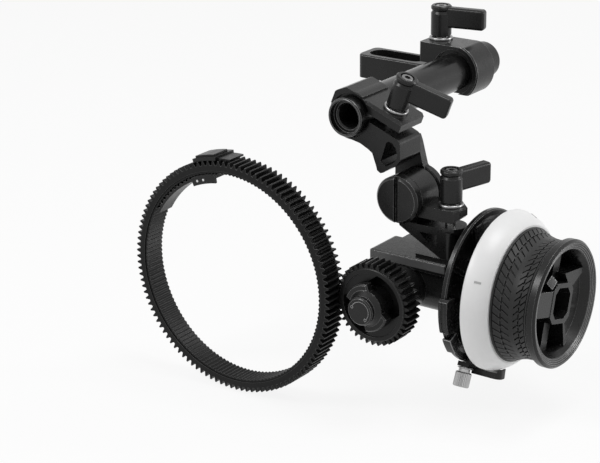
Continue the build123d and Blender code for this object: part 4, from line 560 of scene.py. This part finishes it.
KNOB_MARK_R = 3.7
KNOB_MARK_FROM = radians(-40)
KNOB_MARK_SWEEP = radians(190)
KNOB_MARK_THICK = 0.11
KNOB_MARK_STEPS = 40
KNOB_DOT_R = 0.5
KNOB_DOT_THICK = 0.1
KNOB_DOT_STEPS = 20
KNOB_DOT_TURN = 0.2  # radians beyond each end of the arc
DIMPLE_AT_R = 10.2
DIMPLE_TURNS = (11.5, 29.0, 44.6, 58.0)
DIMPLE_R = (0.75, 0.6)  # at its two ends
DIMPLE_HIGH = 0.5
DIMPLE_STEPS = 20
GEAR_RECESS = 4.8


def knob_mark():
    """Thin arc with a small ring at each end on the knob's cap."""
    front = -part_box("gear_lock_knob")[0][1] / MM
    bm = bmesh.new()
    spin_profile(bm, ring_profile(KNOB_MARK_R, front, KNOB_MARK_THICK), KNOB_MARK_STEPS, KNOB_MARK_SWEEP)
    bmesh.ops.rotate(bm, verts=bm.verts, cent=CENTRE, matrix=Matrix.Rotation(KNOB_MARK_FROM, 3, "Z"))
    for turn in (KNOB_MARK_FROM - KNOB_DOT_TURN, KNOB_MARK_FROM + KNOB_MARK_SWEEP + KNOB_DOT_TURN):
        dot = bmesh.new()
        spin_profile(dot, ring_profile(KNOB_DOT_R, front, KNOB_DOT_THICK), KNOB_DOT_STEPS)
        place = (KNOB_MARK_R * cos(turn) * MM, KNOB_MARK_R * sin(turn) * MM, 0)
        bmesh.ops.translate(dot, verts=dot.verts, vec=place)
        spare = bpy.data.meshes.new("dot")
        dot.to_mesh(spare)
        dot.free()
        bm.from_mesh(spare)
        bpy.data.meshes.remove(spare)
    bmesh.ops.translate(bm, verts=bm.verts, vec=(0, 0, -CAP_SUNK * MM))
    bmesh.ops.transform(bm, matrix=ALONG_GEAR, verts=bm.verts)
    finish_piece(bm, "knob_mark", "gear_lock", "black_metal", material=INK)


def gear_dimples():
    """Round ejector marks in the drive gear's recess."""
    floor = -(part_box("drive_gear")[0][1] / MM + GEAR_RECESS)
    bm = bmesh.new()
    for degrees in DIMPLE_TURNS:
        made = bmesh.ops.create_cone(bm, cap_ends=True, segments=DIMPLE_STEPS,
                                     radius1=DIMPLE_R[0] * MM, radius2=DIMPLE_R[1] * MM,
                                     depth=DIMPLE_HIGH * MM)
        turn = radians(degrees)
        place = (DIMPLE_AT_R * cos(turn) * MM, DIMPLE_AT_R * sin(turn) * MM, floor * MM)
        bmesh.ops.translate(bm, verts=made["verts"], vec=place)
    bmesh.ops.transform(bm, matrix=ALONG_GEAR, verts=bm.verts)
    bmesh.ops.recalc_face_normals(bm, faces=bm.faces)
    finish_piece(bm, "gear_dimples", "drive", "gear_plastic")


# Rod thread

THREAD_TOP_R = 4.55
THREAD_ROOT_R = 5.08
THREAD_PITCH = 1.5
THREAD_FROM = 2.55
THREAD_TURNS = 12
THREAD_STEPS = 64
# One vee as (radius, share of the pitch)
THREAD_VEE = ((THREAD_ROOT_R - 0.1, 0.1), (THREAD_TOP_R, 0.5), (THREAD_TOP_R, 0.6))
THREAD_BACK_R = THREAD_ROOT_R + 0.01


def rod_thread():
    """Threaded lining inside both ends of the rod, as a row of vees."""
    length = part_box("support_rod")[1][1] / MM
    bm = bmesh.new()
    for start in (-THREAD_FROM - THREAD_PITCH * THREAD_TURNS, THREAD_FROM - length):
        outline = [(THREAD_BACK_R, start)]
        for i in range(THREAD_TURNS):
            along = start + THREAD_PITCH * i
            outline += [(radius, along + share * THREAD_PITCH) for radius, share in THREAD_VEE]
        outline += [(THREAD_BACK_R, start + THREAD_PITCH * THREAD_TURNS)]
        spin_profile(bm, outline, THREAD_STEPS)
    bmesh.ops.transform(bm, matrix=ALONG_ROD, verts=bm.verts)
    bmesh.ops.recalc_face_normals(bm, faces=bm.faces)
    finish_piece(bm, "rod_thread", "rod", "rod_metal")


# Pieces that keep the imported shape, by the width of their broken edges

MODELLED = {"handwheel_grip", "pointer_thumbscrew"}
BROAD = {"mount_clamp", "arm_body", "bracket_body", "gearbox_housing", "gearbox_cover",
         "mount_lever_handle", "arm_lever_handle", "bracket_lever_handle", "gear_lock_knob",
         "arm_pivot_cap", "stop_a", "stop_b", "handwheel_core"}
SMALL = {"drive_gear", "lens_gear_ring", "wheel_bevel_gear", "drive_bevel_gear", "lens_ring_buckle",
         "lens_ring_strap", "pointer_arm", "thumbscrew_washer"}
FINE = {"lens_ring_liner", "lens_ring_clip", "lens_ring_pins", "gear_lock_pin", "wheel_shaft_ring",
        "drive_shaft_ring", "mount_lever_spring", "arm_lever_spring", "bracket_lever_spring"}


def edge_width(node):
    """The width that a node's sharp edges are broken by."""
    for group, width in ((BROAD, EDGE_BROAD), (SMALL, EDGE_SMALL), (FINE, EDGE_FINE)):
        if node in group:
            return width
    return EDGE_PLAIN


def press_spring(lift):
    """Gives the finished copy of a lever's spring a mesh of its own."""
    spring = bpy.data.objects[lift["deforming_nodes"][0]["node"] + "_finished"]
    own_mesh(spring)


for node in sorted(frame["nodes"]):
    if node not in MODELLED:
        finished_copy(node, edge_width(node))
for lift in frame["joints"]:
    if lift["name"].endswith("_lever_lift"):
        press_spring(lift)
grip()
mouth_rings()
socket_facet()
disk_ticks()
thumbscrew()
knob_mark()
gear_dimples()
front_band()
rod_thread()


# Studio

AIM = Vector((0.0, 0.0, -0.05))
FLOOR_SEEN = 0.88
FLOOR_HALF = 4.0
AIR_STRENGTH = 0.2
# Name, place, size and watts of each lamp
LAMPS = (("key_softbox", (-0.5, -0.8, 0.9), (0.6, 0.4), 8),
         ("top_softbox", (0.35, 0.1, 1.1), (0.5, 0.5), 6),
         ("back_softbox", (1.0, 0.8, 0.2), (0.3, 0.7), 6.5))
SENSOR_WIDTH = 36.0
LENS = 114.0
NEAR_CLIP = 0.05
CAMERA_AT = (0.3836, -0.5567, 0.2014)
CAMERA_RIGHT = Vector((0.8114, 0.5843, -0.0115))
CAMERA_UP = Vector((-0.1911, 0.2838, 0.9396))
CAMERA_BACK = Vector((0.5523, -0.7602, 0.3420))


def area_lamp(name, place, size, watts):
    """A soft box aimed at the object."""
    lamp = bpy.data.lights.new(name, "AREA")
    lamp.shape = "RECTANGLE"
    lamp.size, lamp.size_y = size
    lamp.energy = watts
    holder = link_object(name, lamp)
    holder.location = place
    holder.rotation_euler = (AIM - Vector(place)).to_track_quat("-Z", "Y").to_euler()


def background_ray(tree):
    """One where a camera, glossy or clear ray meets the background, and nought for the rest."""
    path = add_node(tree, "ShaderNodeLightPath")
    largest = path.outputs["Is Camera Ray"]
    for ray in ("Is Glossy Ray", "Is Transmission Ray"):
        either = add_node(tree, "ShaderNodeMath")
        either.operation = "MAXIMUM"
        tree.links.new(largest, either.inputs[0])
        tree.links.new(path.outputs[ray], either.inputs[1])
        largest = either.outputs[0]
    return largest


def studio_floor():
    """Pale floor that shows white to the camera and keeps the shadow."""
    mesh = bpy.data.meshes.new("floor")
    bm = bmesh.new()
    bmesh.ops.create_grid(bm, x_segments=1, y_segments=1, size=FLOOR_HALF)
    bmesh.ops.translate(bm, verts=bm.verts, vec=(0, 0, cad_box[0][2] - MM))
    bm.to_mesh(mesh)
    bm.free()
    paper, tree = new_tree("studio_paper")
    out = add_node(tree, "ShaderNodeOutputMaterial")
    matt = add_node(tree, "ShaderNodeBsdfDiffuse", Color=(0.9, 0.9, 0.9, 1))
    glow = add_node(tree, "ShaderNodeEmission")
    share = add_node(tree, "ShaderNodeMath")
    share.operation = "MULTIPLY"
    share.inputs[1].default_value = FLOOR_SEEN
    mix = add_node(tree, "ShaderNodeMixShader")
    tree.links.new(background_ray(tree), share.inputs[0])
    tree.links.new(share.outputs[0], mix.inputs["Fac"])
    tree.links.new(matt.outputs[0], mix.inputs[1])
    tree.links.new(glow.outputs[0], mix.inputs[2])
    tree.links.new(mix.outputs[0], out.inputs["Surface"])
    mesh.materials.append(paper)
    link_object("floor", mesh)


def studio_air():
    """White background for the camera and a dimmer even light for the object."""
    world = bpy.data.worlds.new("studio_air")
    bpy.context.scene.world = world
    world.use_nodes = True
    tree = world.node_tree
    tree.nodes.clear()
    out = add_node(tree, "ShaderNodeOutputWorld")
    seen = add_node(tree, "ShaderNodeBackground", Color=(1, 1, 1, 1), Strength=1.0)
    air = add_node(tree, "ShaderNodeBackground", Color=(1, 1, 1, 1), Strength=AIR_STRENGTH)
    mix = add_node(tree, "ShaderNodeMixShader")
    tree.links.new(background_ray(tree), mix.inputs["Fac"])
    tree.links.new(air.outputs[0], mix.inputs[1])
    tree.links.new(seen.outputs[0], mix.inputs[2])
    tree.links.new(mix.outputs[0], out.inputs["Surface"])


def camera():
    """Camera with a long lens, a little above the part and to its front right."""
    lens = bpy.data.cameras.new("camera")
    lens.sensor_width = SENSOR_WIDTH
    lens.sensor_fit = "HORIZONTAL"
    lens.lens = LENS
    lens.clip_start = NEAR_CLIP
    view = link_object("camera", lens)
    turn = Matrix((CAMERA_RIGHT, CAMERA_UP, CAMERA_BACK)).transposed().to_4x4()
    view.matrix_world = Matrix.Translation(CAMERA_AT) @ turn
    bpy.context.scene.camera = view


studio_floor()
studio_air()
for lamp_row in LAMPS:
    area_lamp(*lamp_row)
camera()
bpy.context.scene.view_settings.view_transform = "Standard"
